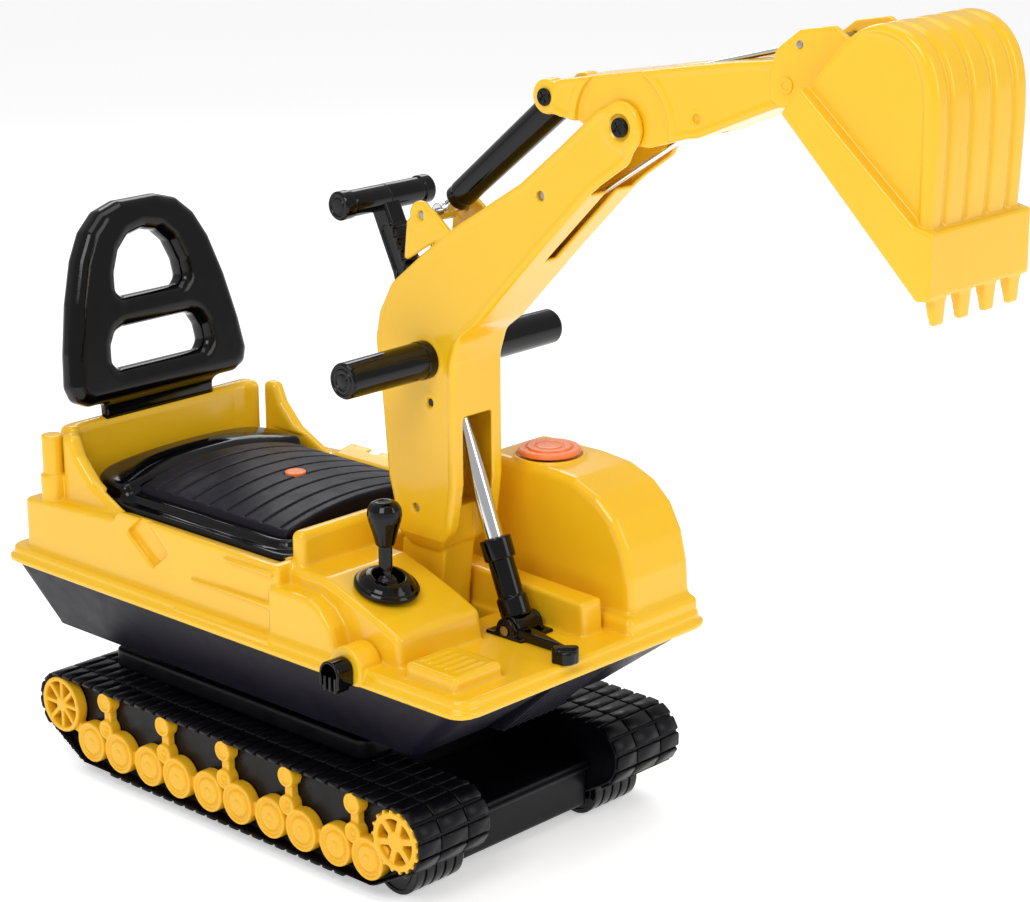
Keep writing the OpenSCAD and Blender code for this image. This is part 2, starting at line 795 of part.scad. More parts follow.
// The left half shell of the stick
module stick_half_shell() {
    difference() {
        union() {
            difference() {
                prism(0, stick_half) stick_profile();
                difference() {
                    prism(-1, stick_half - arm_wall) offset(delta = -arm_wall) stick_profile();
                    ybar(elbow_p, recess_cheek + arm_wall, cheek_half - arm_wall, 30);
                    ybar(bucket_p, 19, cheek_half - arm_wall, 30);
                }
                ybar(elbow_p, recess_cheek, cheek_half, 30);
                ybar(bucket_p, 16, cheek_half, 30);
            }
            ybar(elbow_p, 9, 0, cheek_half - 1);
            ybar(rear_p, 7, 14.5, stick_half - 1);
            ybar(drive_p, 6, 4, stick_half - 1);
            ybar(bucket_p, 9, 0, cheek_half - 1);
        }
        ybar(elbow_p, 4 + run_gap, -1, 40);
        ybar(rear_p, 3.5, -1, 40);
        ybar(drive_p, 2.5, -1, 40);
        ybar(bucket_p, 4 + run_gap, -1, 40);
        // room for the stick cylinder, the drive rod and the bucket rod
        block([230, -1, 590], [276, 14, 650]);
        block([334, -1, 580], [396, 4.5, 613]);
        prism(-1, 4) polygon([[350, 643], [350, 670], [490, 690], [490, 660], [470, 657], [405, 652]]);
    }
}
module stick_shell_left() { color(yellow) stick_half_shell(); }
module stick_shell_right() { color(yellow) mirror([0, 1, 0]) stick_half_shell(); }

module stick_rear_pin() { headed_pin(rear_p, 3.5, stick_half, 7); }
module drive_rod_pin() { color(chrome) ybar(drive_p, 2.5, -stick_half + 1, stick_half - 1); }

// The chrome wire that the control lever pushes the stick with
module drive_rod() {
    a = atan2(drive_p[0] - lever_p[0], drive_p[1] - lever_p[1]);
    color(chrome) difference() {
        union() {
            along(lever_p, a, 4, norm(drive_p - lever_p), wire_r, wire_r);
            ybar(lever_p, 7, -3, 3);
            ybar(drive_p, 5.5, -3, 3);
        }
        ybar(lever_p, 4.5, -5, 5);
        ybar(drive_p, 2.5 + run_gap, -5, 5);
    }
}

module stick_cylinder_tube() {
    color(black) difference() {
        union() {
            along(ear_p, cyl_dir, 17, cyl_len - 10, 10.8, 12.5);
            along(ear_p, cyl_dir, cyl_len - 11, cyl_len, 9, 9);
            ybar(rear_p, 9.5, -13, 13);
        }
        along(ear_p, cyl_dir, 10, cyl_len - 14, 9, 9);
        ybar(rear_p, 3.5 + run_gap, -20, 20);
    }
}

module stick_cylinder_rod() {
    color(chrome) difference() {
        union() {
            along(ear_p, cyl_dir, 2, 132, 5, 5);
            ybar(ear_p, 7, -8, 8);
        }
        ybar(ear_p, 3 + run_gap, -20, 20);
    }
}

// ---- Bucket ----

bucket_back = [[489, 636], [505, 658], [523, 679], [540, 695], [556, 702], [568, 704], [583, 700],
               [597, 691], [606, 675], [610, 656], [612, 615], [611, 572], [607, 566],
               [604.5, 527]];

module bucket() {
    tooth_w = 13;
    gap = (2 * bucket_half - teeth * tooth_w) / teeth;
    color(yellow) difference() {
        union() {
            difference() {
                prism(-bucket_half, bucket_half) polygon(bucket_back);
                prism(-bucket_half + wall, bucket_half - wall)
                    for (d = [0, 4, 9]) translate([-d, -1.05 * d])
                        offset(delta = -wall) polygon(bucket_back);
            }
            both() prism(28, 33) polygon([[460, 660], [464, 675], [484, 690], [512, 695],
                [530, 684], [514, 666], [490, 637], [483, 638], [466, 636], [460, 644]]);
            for (k = [0:teeth - 1])
                translate([0, -bucket_half + gap / 2 + k * (tooth_w + gap), 0])
                    prism(0, tooth_w) polygon([[600, 529], [605, 531], [607, 512], [604, 512]]);
        }
        ybar(bucket_p, 4, -40, 40);
        ybar(rod_p, 2.5, -40, 40);
    }
}

module bucket_pin() { headed_pin(bucket_p, 4, 33, 7); }
module bucket_rod_pin() { color(chrome) ybar(rod_p, 2.5, -33, 33); }

// The chrome wire that steadies the bucket, sliding in the stick's top channel
module bucket_rod() {
    a = atan2(rod_tail[0] - rod_p[0], rod_tail[1] - rod_p[1]);
    color(chrome) difference() {
        union() {
            along(rod_p, a, 3, norm(rod_tail - rod_p), wire_r, wire_r);
            ybar(rod_p, 5, -3, 3);
        }
        ybar(rod_p, 2.5 + run_gap, -5, 5);
    }
}

track_right();
track_left();
cross_frame();
track_trim_right();
track_trim_left();
roller_axles();
roller_front_right();
roller_front_left();
roller_rear_right();
roller_rear_left();
turntable_ring();
slew_bolt();
slew_nut();
tub();
deck();
deck_screws();
seat();
seat_cap();
backrest();
horn_button();
horn_spring();
gear_lever_base();
gear_lever_stem();
gear_lever_knob();
side_clip();
cylinder_bracket();
bracket_pin();
boom_pivot();
boom_shell_right();
boom_shell_left();
boom_screws();
cross_bar();
grip_right();
grip_left();
elbow_pin();
ear_pin();
lift_rod_pin();
lift_barrel();
lift_collar();
lift_rod();
control_lever();
control_lever_pin();
stick_shell_right();
stick_shell_left();
stick_rear_pin();
drive_rod_pin();
drive_rod();
stick_cylinder_tube();
stick_cylinder_rod();
bucket();
bucket_pin();
bucket_rod_pin();
bucket_rod();
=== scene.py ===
"""Ride-on toy excavator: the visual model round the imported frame.

Every length in the shape code is in millimetres, in the frame's own axes: X forward,
Y left, Z up. solid() turns them into metres when it makes the Blender mesh.
"""
import math

import bpy
import numpy as np
from mathutils import Matrix, Vector


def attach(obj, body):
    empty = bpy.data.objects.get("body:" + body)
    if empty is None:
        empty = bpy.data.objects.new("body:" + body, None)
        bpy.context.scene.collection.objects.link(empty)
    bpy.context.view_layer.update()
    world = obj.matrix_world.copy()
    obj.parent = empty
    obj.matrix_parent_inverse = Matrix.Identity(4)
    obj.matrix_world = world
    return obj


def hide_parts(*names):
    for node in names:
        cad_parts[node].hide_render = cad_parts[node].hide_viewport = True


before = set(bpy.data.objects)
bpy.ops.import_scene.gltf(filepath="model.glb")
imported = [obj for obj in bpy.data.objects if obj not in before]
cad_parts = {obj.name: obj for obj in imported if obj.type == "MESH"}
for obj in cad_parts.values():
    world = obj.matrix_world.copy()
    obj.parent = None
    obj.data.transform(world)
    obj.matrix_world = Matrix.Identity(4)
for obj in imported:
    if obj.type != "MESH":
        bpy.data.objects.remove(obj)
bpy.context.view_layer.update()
COARSE = 1.0  # wider grids while only trying things out


# ---- Flat outlines -------------------------------------------------------------------


def soften(points, r, closed=True):
    """Rounds each corner of an outline to about the radius r."""
    p = [np.array(q, float) for q in points]
    out = []
    for n, here in enumerate(p):
        if not closed and n in (0, len(p) - 1):
            out.append(here)
            continue
        back, on = p[n - 1] - here, p[(n + 1) % len(p)] - here
        lb, lo = np.linalg.norm(back), np.linalg.norm(on)
        half = math.acos(max(-1, min(1, float(back @ on) / (lb * lo)))) / 2
        if half > 1.54 or r <= 0:
            out.append(here)
            continue
        t = min(r / math.tan(max(half, 0.05)), 0.48 * lb, 0.48 * lo)
        a, b = here + back / lb * t, here + on / lo * t
        out += [(1 - s) ** 2 * a + 2 * s * (1 - s) * here + s * s * b for s in (0, 0.25, 0.5, 0.75, 1)]
    return out


def outline(points, corner=0):
    """The signed distance to a polygon with rounded corners, and its limits."""
    p = np.array(soften(points, corner), float)

    def distance(u, w):
        near = np.full(np.broadcast(u, w).shape, 1e12, np.float32)
        inside = np.zeros(near.shape, bool)
        for (au, aw), (bu, bw) in zip(p, np.roll(p, -1, 0)):
            eu, ew = bu - au, bw - aw
            if eu * eu + ew * ew < 1e-12:
                continue
            pu, pw = u - au, w - aw
            t = np.clip((pu * eu + pw * ew) / (eu * eu + ew * ew), 0, 1)
            near = np.minimum(near, (pu - eu * t) ** 2 + (pw - ew * t) ** 2)
            if aw != bw:
                inside ^= ((aw > w) != (bw > w)) & (pu < eu * pw / ew)
        near = np.sqrt(near)
        return np.where(inside, -near, near)

    return (p[:, 0].min(), p[:, 0].max(), p[:, 1].min(), p[:, 1].max()), distance


def smooth(points, rounds=3):
    """An open run of points with its corners cut away, its two ends kept."""
    for _ in range(rounds):
        cut = [points[0]]
        for (x0, z0), (x1, z1) in zip(points, points[1:]):
            cut += [(0.75 * x0 + 0.25 * x1, 0.75 * z0 + 0.25 * z1),
                    (0.25 * x0 + 0.75 * x1, 0.25 * z0 + 0.75 * z1)]
        points = cut + [points[-1]]
    return points


def disc(c, r):
    """A round flat shape."""
    return (c[0] - r, c[0] + r, c[1] - r, c[1] + r), lambda u, w: np.hypot(u - c[0], w - c[1]) - r


def ring(c, r0, r1):
    """A flat ring between two radii."""
    limits, _ = disc(c, r1)
    mid, half = (r0 + r1) / 2, (r1 - r0) / 2
    return limits, lambda u, w: np.abs(np.hypot(u - c[0], w - c[1]) - mid) - half


def strip(a, b, w0, w1=None):
    """A flat bar with round ends, w0 wide at a and w1 at b."""
    w1 = w0 if w1 is None else w1
    a, b = np.array(a, float), np.array(b, float)
    e, wide = b - a, max(w0, w1) / 2

    def distance(u, w):
        t = np.clip(((u - a[0]) * e[0] + (w - a[1]) * e[1]) / (e @ e), 0, 1)
        return np.hypot(u - a[0] - e[0] * t, w - a[1] - e[1] * t) - (w0 + (w1 - w0) * t) / 2

    lo, hi = np.minimum(a, b) - wide, np.maximum(a, b) + wide
    return (lo[0], hi[0], lo[1], hi[1]), distance


def minus(flat, *holes):
    """A flat shape with other flat shapes taken out of it."""
    limits, distance = flat

    def left(u, w):
        d = distance(u, w)
        for _, hole in holes:
            d = np.maximum(d, -hole(u, w))
        return d

    return limits, left


def grown(flat, t):
    (a, b, c, d), distance = flat
    return (a - t, b + t, c - t, d + t), lambda u, w: distance(u, w) - t


# ---- Solids as distances: (lowest corner, highest corner, distance) --------------------


def extrude(flat, axis, a, b, r=1.0):
    """A flat shape drawn out from a to b along an axis, with edges of radius r."""
    (u0, u1, w0, w1), d2 = flat
    n = "xyz".index(axis)
    i, j = [m for m in range(3) if m != n]
    lo, hi = [0.0] * 3, [0.0] * 3
    lo[n], lo[i], lo[j], hi[n], hi[i], hi[j] = a, u0, w0, b, u1, w1

    def distance(*p):
        d = d2(p[i], p[j]) + r
        e = np.abs(p[n] - (a + b) / 2) - (b - a) / 2 + r
        return np.minimum(np.maximum(d, e), 0) + np.hypot(np.maximum(d, 0), np.maximum(e, 0)) - r

    return lo, hi, distance


def box(lo, hi, r=1.0):
    def distance(*p):
        q = [np.abs(p[n] - (lo[n] + hi[n]) / 2) - (hi[n] - lo[n]) / 2 + r for n in range(3)]
        out = np.sqrt(sum(np.maximum(v, 0) ** 2 for v in q))
        return out + np.minimum(np.maximum(np.maximum(q[0], q[1]), q[2]), 0) - r

    return list(lo), list(hi), distance


def drum(c, radius, half, bevel):
    """A round bar across the object, half of its length on each side."""
    return extrude(disc(c, radius), "y", -half, half, bevel)


def peg(c, radius, y0, y1, bevel):
    """A round bar across the object, from y0 to y1."""
    return extrude(disc(c, radius), "y", y0, y1, bevel)


def both(shape):
    """The same shape on both sides of the plane of symmetry."""
    lo, hi, distance = shape
    y = max(abs(lo[1]), abs(hi[1]))
    return [lo[0], -y, lo[2]], [hi[0], y, hi[2]], lambda x, y, z: distance(x, np.abs(y), z)


def turned(shape, centre, degrees):
    """A shape turned about Y through a point."""
    lo, hi, distance = shape
    c, s = math.cos(math.radians(degrees)), math.sin(math.radians(degrees))
    ends = [(centre[0] + (x - centre[0]) * c + (z - centre[2]) * s,
             centre[2] - (x - centre[0]) * s + (z - centre[2]) * c)
            for x in (lo[0], hi[0]) for z in (lo[2], hi[2])]

    def moved(x, y, z):
        dx, dz = x - centre[0], z - centre[2]
        return distance(centre[0] + dx * c - dz * s, y, centre[2] + dx * s + dz * c)

    return ([min(e[0] for e in ends), lo[1], min(e[1] for e in ends)],
            [max(e[0] for e in ends), hi[1], max(e[1] for e in ends)], moved)


def soft_min(a, b, k):
    h = np.maximum(k - np.abs(a - b), 0) / k
    return np.minimum(a, b) - h * h * k / 4


class Mould:
    """A solid held as distances on a grid, so that moulded shapes melt into each other."""

    def __init__(self, lo, hi, step):
        self.step = step * COARSE
        self.lo = np.array(lo, float) + 0.013
        self.axes = [np.arange(a, b + self.step, self.step, dtype=np.float32)
                     for a, b in zip(self.lo, hi)]
        self.field = np.full([len(a) for a in self.axes], 40, np.float32)

    def near(self, shape, pad):
        lo, hi, distance = shape
        place = []
        for n, axis in enumerate(self.axes):
            a, b = np.searchsorted(axis, [lo[n] - pad, hi[n] + pad])
            place.append(slice(a, b))
        grid = np.ix_(*[axis[s] for axis, s in zip(self.axes, place)])
        return tuple(place), distance(*grid)

    def add(self, *shapes, k=2.0):
        for shape in shapes:
            place, d = self.near(shape, k + 4 * self.step)
            self.field[place] = soft_min(self.field[place], d, k)
        return self

    def cut(self, *shapes, k=1.0):
        for shape in shapes:
            place, d = self.near(shape, k + 4 * self.step)
            self.field[place] = -soft_min(-self.field[place], d, k)
        return self

    def mesh(self):
        """Vertices in millimetres and four-sided faces of the skin, by surface nets."""
        v = self.field
        for n in range(3):
            ends = [slice(None)] * 3
            for e in (0, -1):
                ends[n] = e
                v[tuple(ends)] = np.maximum(v[tuple(ends)], 0.01)
        inside = v < 0
        corners = np.array([(i, j, k) for i in (0, 1) for j in (0, 1) for k in (0, 1)])
        shape = np.array(v.shape) - 1
        count = np.zeros(shape, np.int8)
        for i, j, k in corners:
            count += inside[i:i + shape[0], j:j + shape[1], k:k + shape[2]]
        cells = np.argwhere((count > 0) & (count < 8))
        values = np.stack([v[tuple((cells + c).T)] for c in corners], 1)
        total, hits = np.zeros((len(cells), 3)), np.zeros(len(cells))
        for a in range(8):
            for b in range(a + 1, 8):
                if np.abs(corners[a] - corners[b]).sum() != 1:
                    continue
                va, vb = values[:, a], values[:, b]
                crossed = (va < 0) != (vb < 0)
                t = np.where(crossed, va / np.where(crossed, va - vb, 1), 0)
                total += crossed[:, None] * (corners[a] + t[:, None] * (corners[b] - corners[a]))
                hits += crossed
        points = self.lo + (cells + total / hits[:, None]) * self.step
        number = np.full(shape, -1, np.int64)
        number[tuple(cells.T)] = np.arange(len(cells))
        faces = []
        for n in range(3):
            i, j = [m for m in range(3) if m != n]
            first = np.argwhere(np.diff(inside, axis=n))
            first = first[(first[:, i] > 0) & (first[:, j] > 0)]
            first = first[(first[:, i] < shape[i]) & (first[:, j] < shape[j])]
            di, dj = np.eye(3, dtype=int)[i], np.eye(3, dtype=int)[j]
            quad = np.stack([number[tuple((first + o).T)] for o in (-di - dj, -dj, 0 * di, -di)], 1)
            flip = inside[tuple(first.T)] == (n == 1)
            quad[flip] = quad[flip][:, ::-1]
            faces.append(quad)
        return points, np.concatenate(faces)


# ---- Turned, swept and small parts ---------------------------------------------------


def lathe(profile, foot, direction, sides=72, r=0.6):
    """Turns a profile of (radius, height) about an axis from foot, with softened corners."""
    rows = soften(profile, r, closed=False)
    turn = Vector((0, 0, 1)).rotation_difference(Vector(direction)).to_matrix()
    turn = np.array(turn)
    angle = np.arange(sides) * 2 * math.pi / sides
    points, faces, rings = [], [], []
    for radius, height in rows:
        if radius < 1e-6:
            rings.append([len(points)] * sides)
            points.append((0, 0, height))
        else:
            rings.append(list(range(len(points), len(points) + sides)))
            points += [(radius * c, radius * s, height) for c, s in zip(np.cos(angle), np.sin(angle))]
    for low, high in zip(rings, rings[1:]):
        for n in range(sides):
            m = (n + 1) % sides
            face = [low[n], low[m], high[m], high[n]]
            face = [q for q, before in zip(face, face[-1:] + face[:-1]) if q != before]
            if len(face) > 2:
                faces.append(face)
    return np.array(points) @ turn.T + np.array(foot), faces


def rod(a, b, radius, bevel=0.6, sides=48):
    """A round bar between two points."""
    a, b = np.array(a, float), np.array(b, float)
    length = float(np.linalg.norm(b - a))
    return lathe([(0, 0), (radius, 0), (radius, length), (0, length)], a, b - a, sides, bevel)


def loft(rings):
    """A closed skin over rings of points with the same count, capped at both ends."""
    count = len(rings[0])
    points = np.concatenate([np.array(r, float) for r in rings])
    faces = [list(range(count))[::-1], [len(points) - count + n for n in range(count)]]
    for k in range(len(rings) - 1):
        for n in range(count):
            m = (n + 1) % count
            faces.append([k * count + n, k * count + m, (k + 1) * count + m, (k + 1) * count + n])
    return points, faces


def merge(*meshes):
    points, faces, start = [], [], 0
    for p, f in meshes:
        points.append(np.array(p, float))
        faces += [[int(q) + start for q in face] for face in f]
        start += len(p)
    return np.concatenate(points), faces


def solid(name, mesh, body, look, nodes=(), facets=False):
    """Makes the Blender object, in metres, gives it its finish and puts it on its body."""
    points, faces = mesh
    data = bpy.data.meshes.new(name)
    if isinstance(faces, np.ndarray):
        data.vertices.add(len(points))
        data.vertices.foreach_set("co", (np.array(points, np.float32) / 1000).ravel())
        data.loops.add(faces.size)
        data.loops.foreach_set("vertex_index", faces.astype(np.int32).ravel())
        data.polygons.add(len(faces))
        data.polygons.foreach_set("loop_start", np.arange(0, faces.size, 4, dtype=np.int32))
        data.update(calc_edges=True)
    else:
        data.from_pydata([tuple(q / 1000) for q in points], [], faces)
    data.validate()
    data.polygons.foreach_set("use_smooth", np.full(len(data.polygons), not facets))
    obj = bpy.data.objects.new(name, data)
    bpy.context.scene.collection.objects.link(obj)
    data.materials.append(LOOKS[look])
    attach(obj, body)
    if nodes:
        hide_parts(*nodes)
    return obj


def part(name, mesh, body, look):
    """A piece that stands for the one frame node of the same name."""
    solid(name, mesh, body, look, [name])


# ---- Finishes ------------------------------------------------------------------------

LOOKS = {}


def finish(name, colour, deep, rough, grain, bump, swell=0.0, metal=0.0, coat=0.0, scatter=0.0,
           shine=0.5):
    """A moulded or polished surface: two tones of colour in soft clouds, uneven gloss,
    a fine grain and, on large blow-moulded shells, a slow swell of the surface."""
    material = bpy.data.materials.new(name)
    material.use_nodes = True
    tree = material.node_tree
    tree.nodes.clear()

    def node(kind, **values):
        made = tree.nodes.new(kind)
        for key, value in values.items():
            if hasattr(made, key):
                setattr(made, key, value)
            else:
                made.inputs[key].default_value = value
        return made

    out = node("ShaderNodeOutputMaterial")
    shader = node("ShaderNodeBsdfPrincipled")
    shader.inputs["Metallic"].default_value = metal
    shader.inputs["Specular IOR Level"].default_value = shine
    shader.inputs["Coat Weight"].default_value = coat
    shader.inputs["Coat Roughness"].default_value = 0.08
    shader.inputs["Subsurface Weight"].default_value = scatter
    shader.inputs["Subsurface Radius"].default_value = (1.0, 0.45, 0.1)
    shader.inputs["Subsurface Scale"].default_value = 0.004
    place = node("ShaderNodeTexCoord")

    def noise(scale, detail=3.0):
        made = node("ShaderNodeTexNoise")
        made.inputs["Scale"].default_value = scale
        made.inputs["Detail"].default_value = detail
        tree.links.new(place.outputs["Object"], made.inputs["Vector"])
        return made.outputs["Fac"]

    def spread(fac, low, high):
        made = node("ShaderNodeMapRange")
        made.inputs["From Min"].default_value = 0.3
        made.inputs["From Max"].default_value = 0.7
        made.inputs["To Min"].default_value = low
        made.inputs["To Max"].default_value = high
        tree.links.new(fac, made.inputs["Value"])
        return made.outputs["Result"]

    clouds = node("ShaderNodeMix", data_type="RGBA")
    clouds.inputs[6].default_value = (*colour, 1)
    clouds.inputs[7].default_value = (*deep, 1)
    tree.links.new(spread(noise(14), 0.0, 1.0), clouds.inputs["Factor"])
    tree.links.new(clouds.outputs[2], shader.inputs["Base Color"])
    tree.links.new(spread(noise(60, 2), *rough), shader.inputs["Roughness"])
    fine = node("ShaderNodeBump")
    fine.inputs["Strength"].default_value = bump
    fine.inputs["Distance"].default_value = 0.0004
    tree.links.new(noise(grain, 2), fine.inputs["Height"])
    if swell:
        slow = node("ShaderNodeBump")
        slow.inputs["Strength"].default_value = swell
        slow.inputs["Distance"].default_value = 0.002
        tree.links.new(noise(22, 1), slow.inputs["Height"])
        tree.links.new(slow.outputs["Normal"], fine.inputs["Normal"])
    tree.links.new(fine.outputs["Normal"], shader.inputs["Normal"])
    tree.links.new(shader.outputs["BSDF"], out.inputs["Surface"])
    LOOKS[name] = material


finish("yellow", (0.90, 0.530, 0.014), (0.89, 0.510, 0.011), (0.20, 0.27), 1400, 0.02,
       swell=0.06, coat=0.30, scatter=0.05, shine=0.40)
finish("trim", (0.90, 0.50, 0.016), (0.86, 0.46, 0.013), (0.34, 0.46), 1800, 0.10, coat=0.12,
       scatter=0.04, shine=0.35)
finish("gloss", (0.0012, 0.0011, 0.0018), (0.0009, 0.0008, 0.0014), (0.06, 0.13), 1500, 0.03,
       swell=0.08, coat=0.20, shine=0.20)
finish("satin", (0.0080, 0.0070, 0.0140), (0.0062, 0.0054, 0.0112), (0.36, 0.47), 2200, 0.16,
       coat=0.01, shine=0.16)
finish("rubber", (0.0028, 0.0026, 0.0046), (0.0018, 0.0017, 0.0030), (0.26, 0.42), 1700, 0.16,
       coat=0.02, shine=0.18)
finish("orange", (0.90, 0.235, 0.060), (0.86, 0.200, 0.048), (0.30, 0.40), 1500, 0.06, coat=0.20,
       scatter=0.06)
finish("chrome", (0.78, 0.79, 0.81), (0.70, 0.71, 0.73), (0.05, 0.13), 2600, 0.05, metal=1.0)
finish("steel", (0.40, 0.41, 0.43), (0.32, 0.33, 0.35), (0.22, 0.36), 2000, 0.10, metal=1.0)


# ---- Key places, the same as in the frame ----------------------------------------------

HORN, KNOB, CLIP, STACK = (145, 90), (133, -85), (149, 183), (-238, -121)
CAP, BOSSES = (-64, 0), ((244, 545), (108, 275), (197, 475))
BOOM, BARREL, LIFT, BAR = (100, 190), (195.5, 190), (126, 365), (122.3, 399.6)
LEVER, HANDLE, ELBOW, EAR = (140, 458), (49.6, 514), (322, 605), (119, 513)
REAR, DRIVE, BUCKET, ROD = (249.6, 619), (390.7, 619), (474, 652), (484, 680)
TAIL = (378, 652)
TRACK_IN, TRACK_OUT = 75, 152
UPPER, LOWER, LOOP_R = (206, 58), (172, 38.5), 28.5
ROLLER_X, ROLLER_R = 184, 24


def arc(c, r, a0, a1, steps=24):
    """Points along part of a circle, from the angle a0 to a1 in degrees."""
    return [(c[0] + r * math.cos(math.radians(a0 + (a1 - a0) * n / steps)),
             c[1] + r * math.sin(math.radians(a0 + (a1 - a0) * n / steps)))
            for n in range(steps + 1)]


def loop(r):
    """The track's path round its four corner circles."""
    nose = math.degrees(math.atan2(LOWER[0] - UPPER[0], UPPER[1] - LOWER[1]))
    return (arc(UPPER, r, nose, 90) + arc((-UPPER[0], UPPER[1]), r, 90, 180 - nose)
            + arc((-LOWER[0], LOWER[1]), r, 180 - nose, 270) + arc(LOWER, r, 270, 360 + nose))


def spaced(points, pitch):
    """Places and headings at an even pitch round a closed path."""
    p = np.array(points + points[:1], float)
    step = np.linalg.norm(np.diff(p, axis=0), axis=1)
    along = np.concatenate([[0], np.cumsum(step)])
    count = round(along[-1] / pitch)
    for n in range(count):
        d = along[-1] * n / count
        k = min(np.searchsorted(along, d, side="right") - 1, len(step) - 1)
        while step[k] < 1e-9:
            k += 1
        t = (d - along[k]) / step[k]
        e = (p[k + 1] - p[k]) / step[k]
        yield p[k] + (p[k + 1] - p[k]) * t, math.degrees(math.atan2(e[1], e[0]))


def cleat(place, heading, y0, y1, height, width):
    """One grouser bar across the track, with sloped flanks and a rounded top."""
    e = np.array([math.cos(math.radians(heading)), math.sin(math.radians(heading))])
    out = np.array([e[1], -e[0]])
    section = [(-width / 2, -1.2), (-width * 0.46, height * 0.7), (-width * 0.40, height),
               (width * 0.40, height), (width * 0.46, height * 0.7), (width / 2, -1.2)]
    rings = []
    for y, s in ((y0, 0.72), (y0 + 0.9, 1.0), (y1 - 0.9, 1.0), (y1, 0.72)):
        rings.append([(*(place + e * u * s + out * (w if w < 0 else w * s)), y)
                      for u, w in section])
    return loft([[(q[0], q[2], q[1]) for q in r] for r in rings])


# ---- Undercarriage -------------------------------------------------------------------


def build_track(side, name):
    """A track moulding: a thin-rimmed loop, open to the outside, with cleats in three lanes."""
    body = Mould((-238, TRACK_IN - 3, 7), (238, TRACK_OUT + 3, 90), 1.5)
    well = (TRACK_IN + 2, TRACK_IN + 55)
    body.add(extrude(outline(loop(LOOP_R - 1.6)), "y", TRACK_IN, TRACK_OUT, 2.0))
    body.cut(extrude(outline(loop(LOOP_R - 3.2)), "y", TRACK_OUT - 11, TRACK_OUT + 9, 0.6))
    body.cut(extrude(outline(loop(LOOP_R - 5)), "y", TRACK_IN - 9, TRACK_IN + 0.6, 0.2))
    for x in (-ROLLER_X, ROLLER_X):
        body.cut(extrude(disc((x, ROLLER_R), 26.5), "y", *well, 0.5),
                 box((x - 26.5, well[0], -9), (x + 26.5, well[1], ROLLER_R), 0.5))
    points, faces = body.mesh()
    bars = []
    path = loop(LOOP_R - 1.6)
    lanes = ((TRACK_IN + 0.4, 98.2), (99.4, 127.6), (128.8, TRACK_OUT - 0.4))
    for place, heading in spaced(path, 14.0):
        for n, (y0, y1) in enumerate(lanes):
            low = place[1] < 42 and 150 < abs(place[0]) < 218
            if low and y0 < well[1]:
                continue
            bars.append(cleat(place, heading, y0, y1, 1.5, 12.2))
    all_points, all_faces = merge((points, faces), *bars)
    if side < 0:
        all_points = all_points * np.array([1, -1, 1])
        all_faces = [f[::-1] for f in all_faces]
    part(name, (all_points, all_faces), "undercarriage", "rubber")


def build_trim(side, name):
    """The yellow moulding of one side: five pairs of rollers and links between two wheels."""
    y0, y1 = TRACK_OUT - 11, TRACK_OUT
    trim = Mould((-234, y0 - 2, 13), (236, y1 + 3, 88), 0.75)
    idler, sprocket = (-UPPER[0], UPPER[1]), UPPER
    z, first, pitch, apart = 34, -166.3, 76, 36.7

    def add(flat, top, r=0.8, k=0.8, low=y0 + 0.2):
        trim.add(extrude(flat, "y", low, top, r), k=k)

    for k in range(5):
        a = (first + k * pitch, z)
        b = (a[0] + apart, z)
        add(strip(a, b, 9), y1 - 4)
        if k < 4:
            add(strip(b, (a[0] + pitch, z), 11), y1 - 4.2)
            for n in range(-1, 2):
                mid = (b[0] + a[0] + pitch) / 2 + 4.2 * n
                add(strip((mid, z - 6), (mid, z + 6), 2.4), y1 - 3.2, 0.5, 0.5)
    add(strip((first, z), (idler[0] + 16, idler[1] - 16), 11), y1 - 4.2)
    add(strip((first + 4 * pitch + apart, z), (sprocket[0] - 16, sprocket[1] - 14), 11), y1 - 4.2)
    for k in range(5):
        a = (first + k * pitch, z)
        top, low = (a[0] + 20.7, z + 41.5), (a[0] + 20.7, z + 17)
        add(strip(low, top, 8.6), y1 - 3.4)
        add(disc(top, 8.6), y1 - 1.4)
        add(ring(top, 6.0, 8.6), y1)
        add(disc(low, 8.4), y1 - 1.6)
        add(ring(low, 5.6, 8.4), y1 - 0.4)
        trim.cut(extrude(ring(low, 2.0, 3.6), "y", y1 - 2.6, y1 + 3, 0.3), k=0.5)
        for c in (a, (a[0] + apart, z)):
            add(disc(c, 17.5), y1 - 1.8, 1.2)
            add(ring(c, 14.6, 17.5), y1 - 0.3, 1.0)
            add(disc(c, 10.4), y1 - 0.9, 0.9)
            add(disc(c, 3.2), y1, 0.8)
            trim.cut(extrude(ring(c, 11.2, 12.2), "y", y1 - 3.0, y1 + 3, 0.2), k=0.4)
    add(ring(idler, 20.4, 24.5), y1, 1.4)
    add(disc(idler, 6.5), y1 - 0.4, 1.2)
    for n in range(4):
        e = np.array([math.cos(n * math.pi / 4), math.sin(n * math.pi / 4)])
        add(strip(np.array(idler) - e * 21.5, np.array(idler) + e * 21.5, 3.6), y1 - 1.4)
    add(ring(sprocket, 18.6, 23.6), y1, 1.2)
    add(disc(sprocket, 8.4), y1 - 0.4, 1.4)
    for n in range(3):
        e = np.array([math.cos(n * math.pi / 3 + 0.26), math.sin(n * math.pi / 3 + 0.26)])
        add(strip(np.array(sprocket) - e * 20, np.array(sprocket) + e * 20, 5.6), y1 - 1.2)
    for n in range(18):
        e = np.array([math.cos(n * math.pi / 9), math.sin(n * math.pi / 9)])
        add(strip(np.array(sprocket) + e * 22, np.array(sprocket) + e * 24.6, 4.4, 3.2), y1 - 0.6)
    points, faces = trim.mesh()
    if side < 0:
        points, faces = points * np.array([1, -1, 1]), faces[:, ::-1]
    part(name, (points, faces), "undercarriage", "trim")


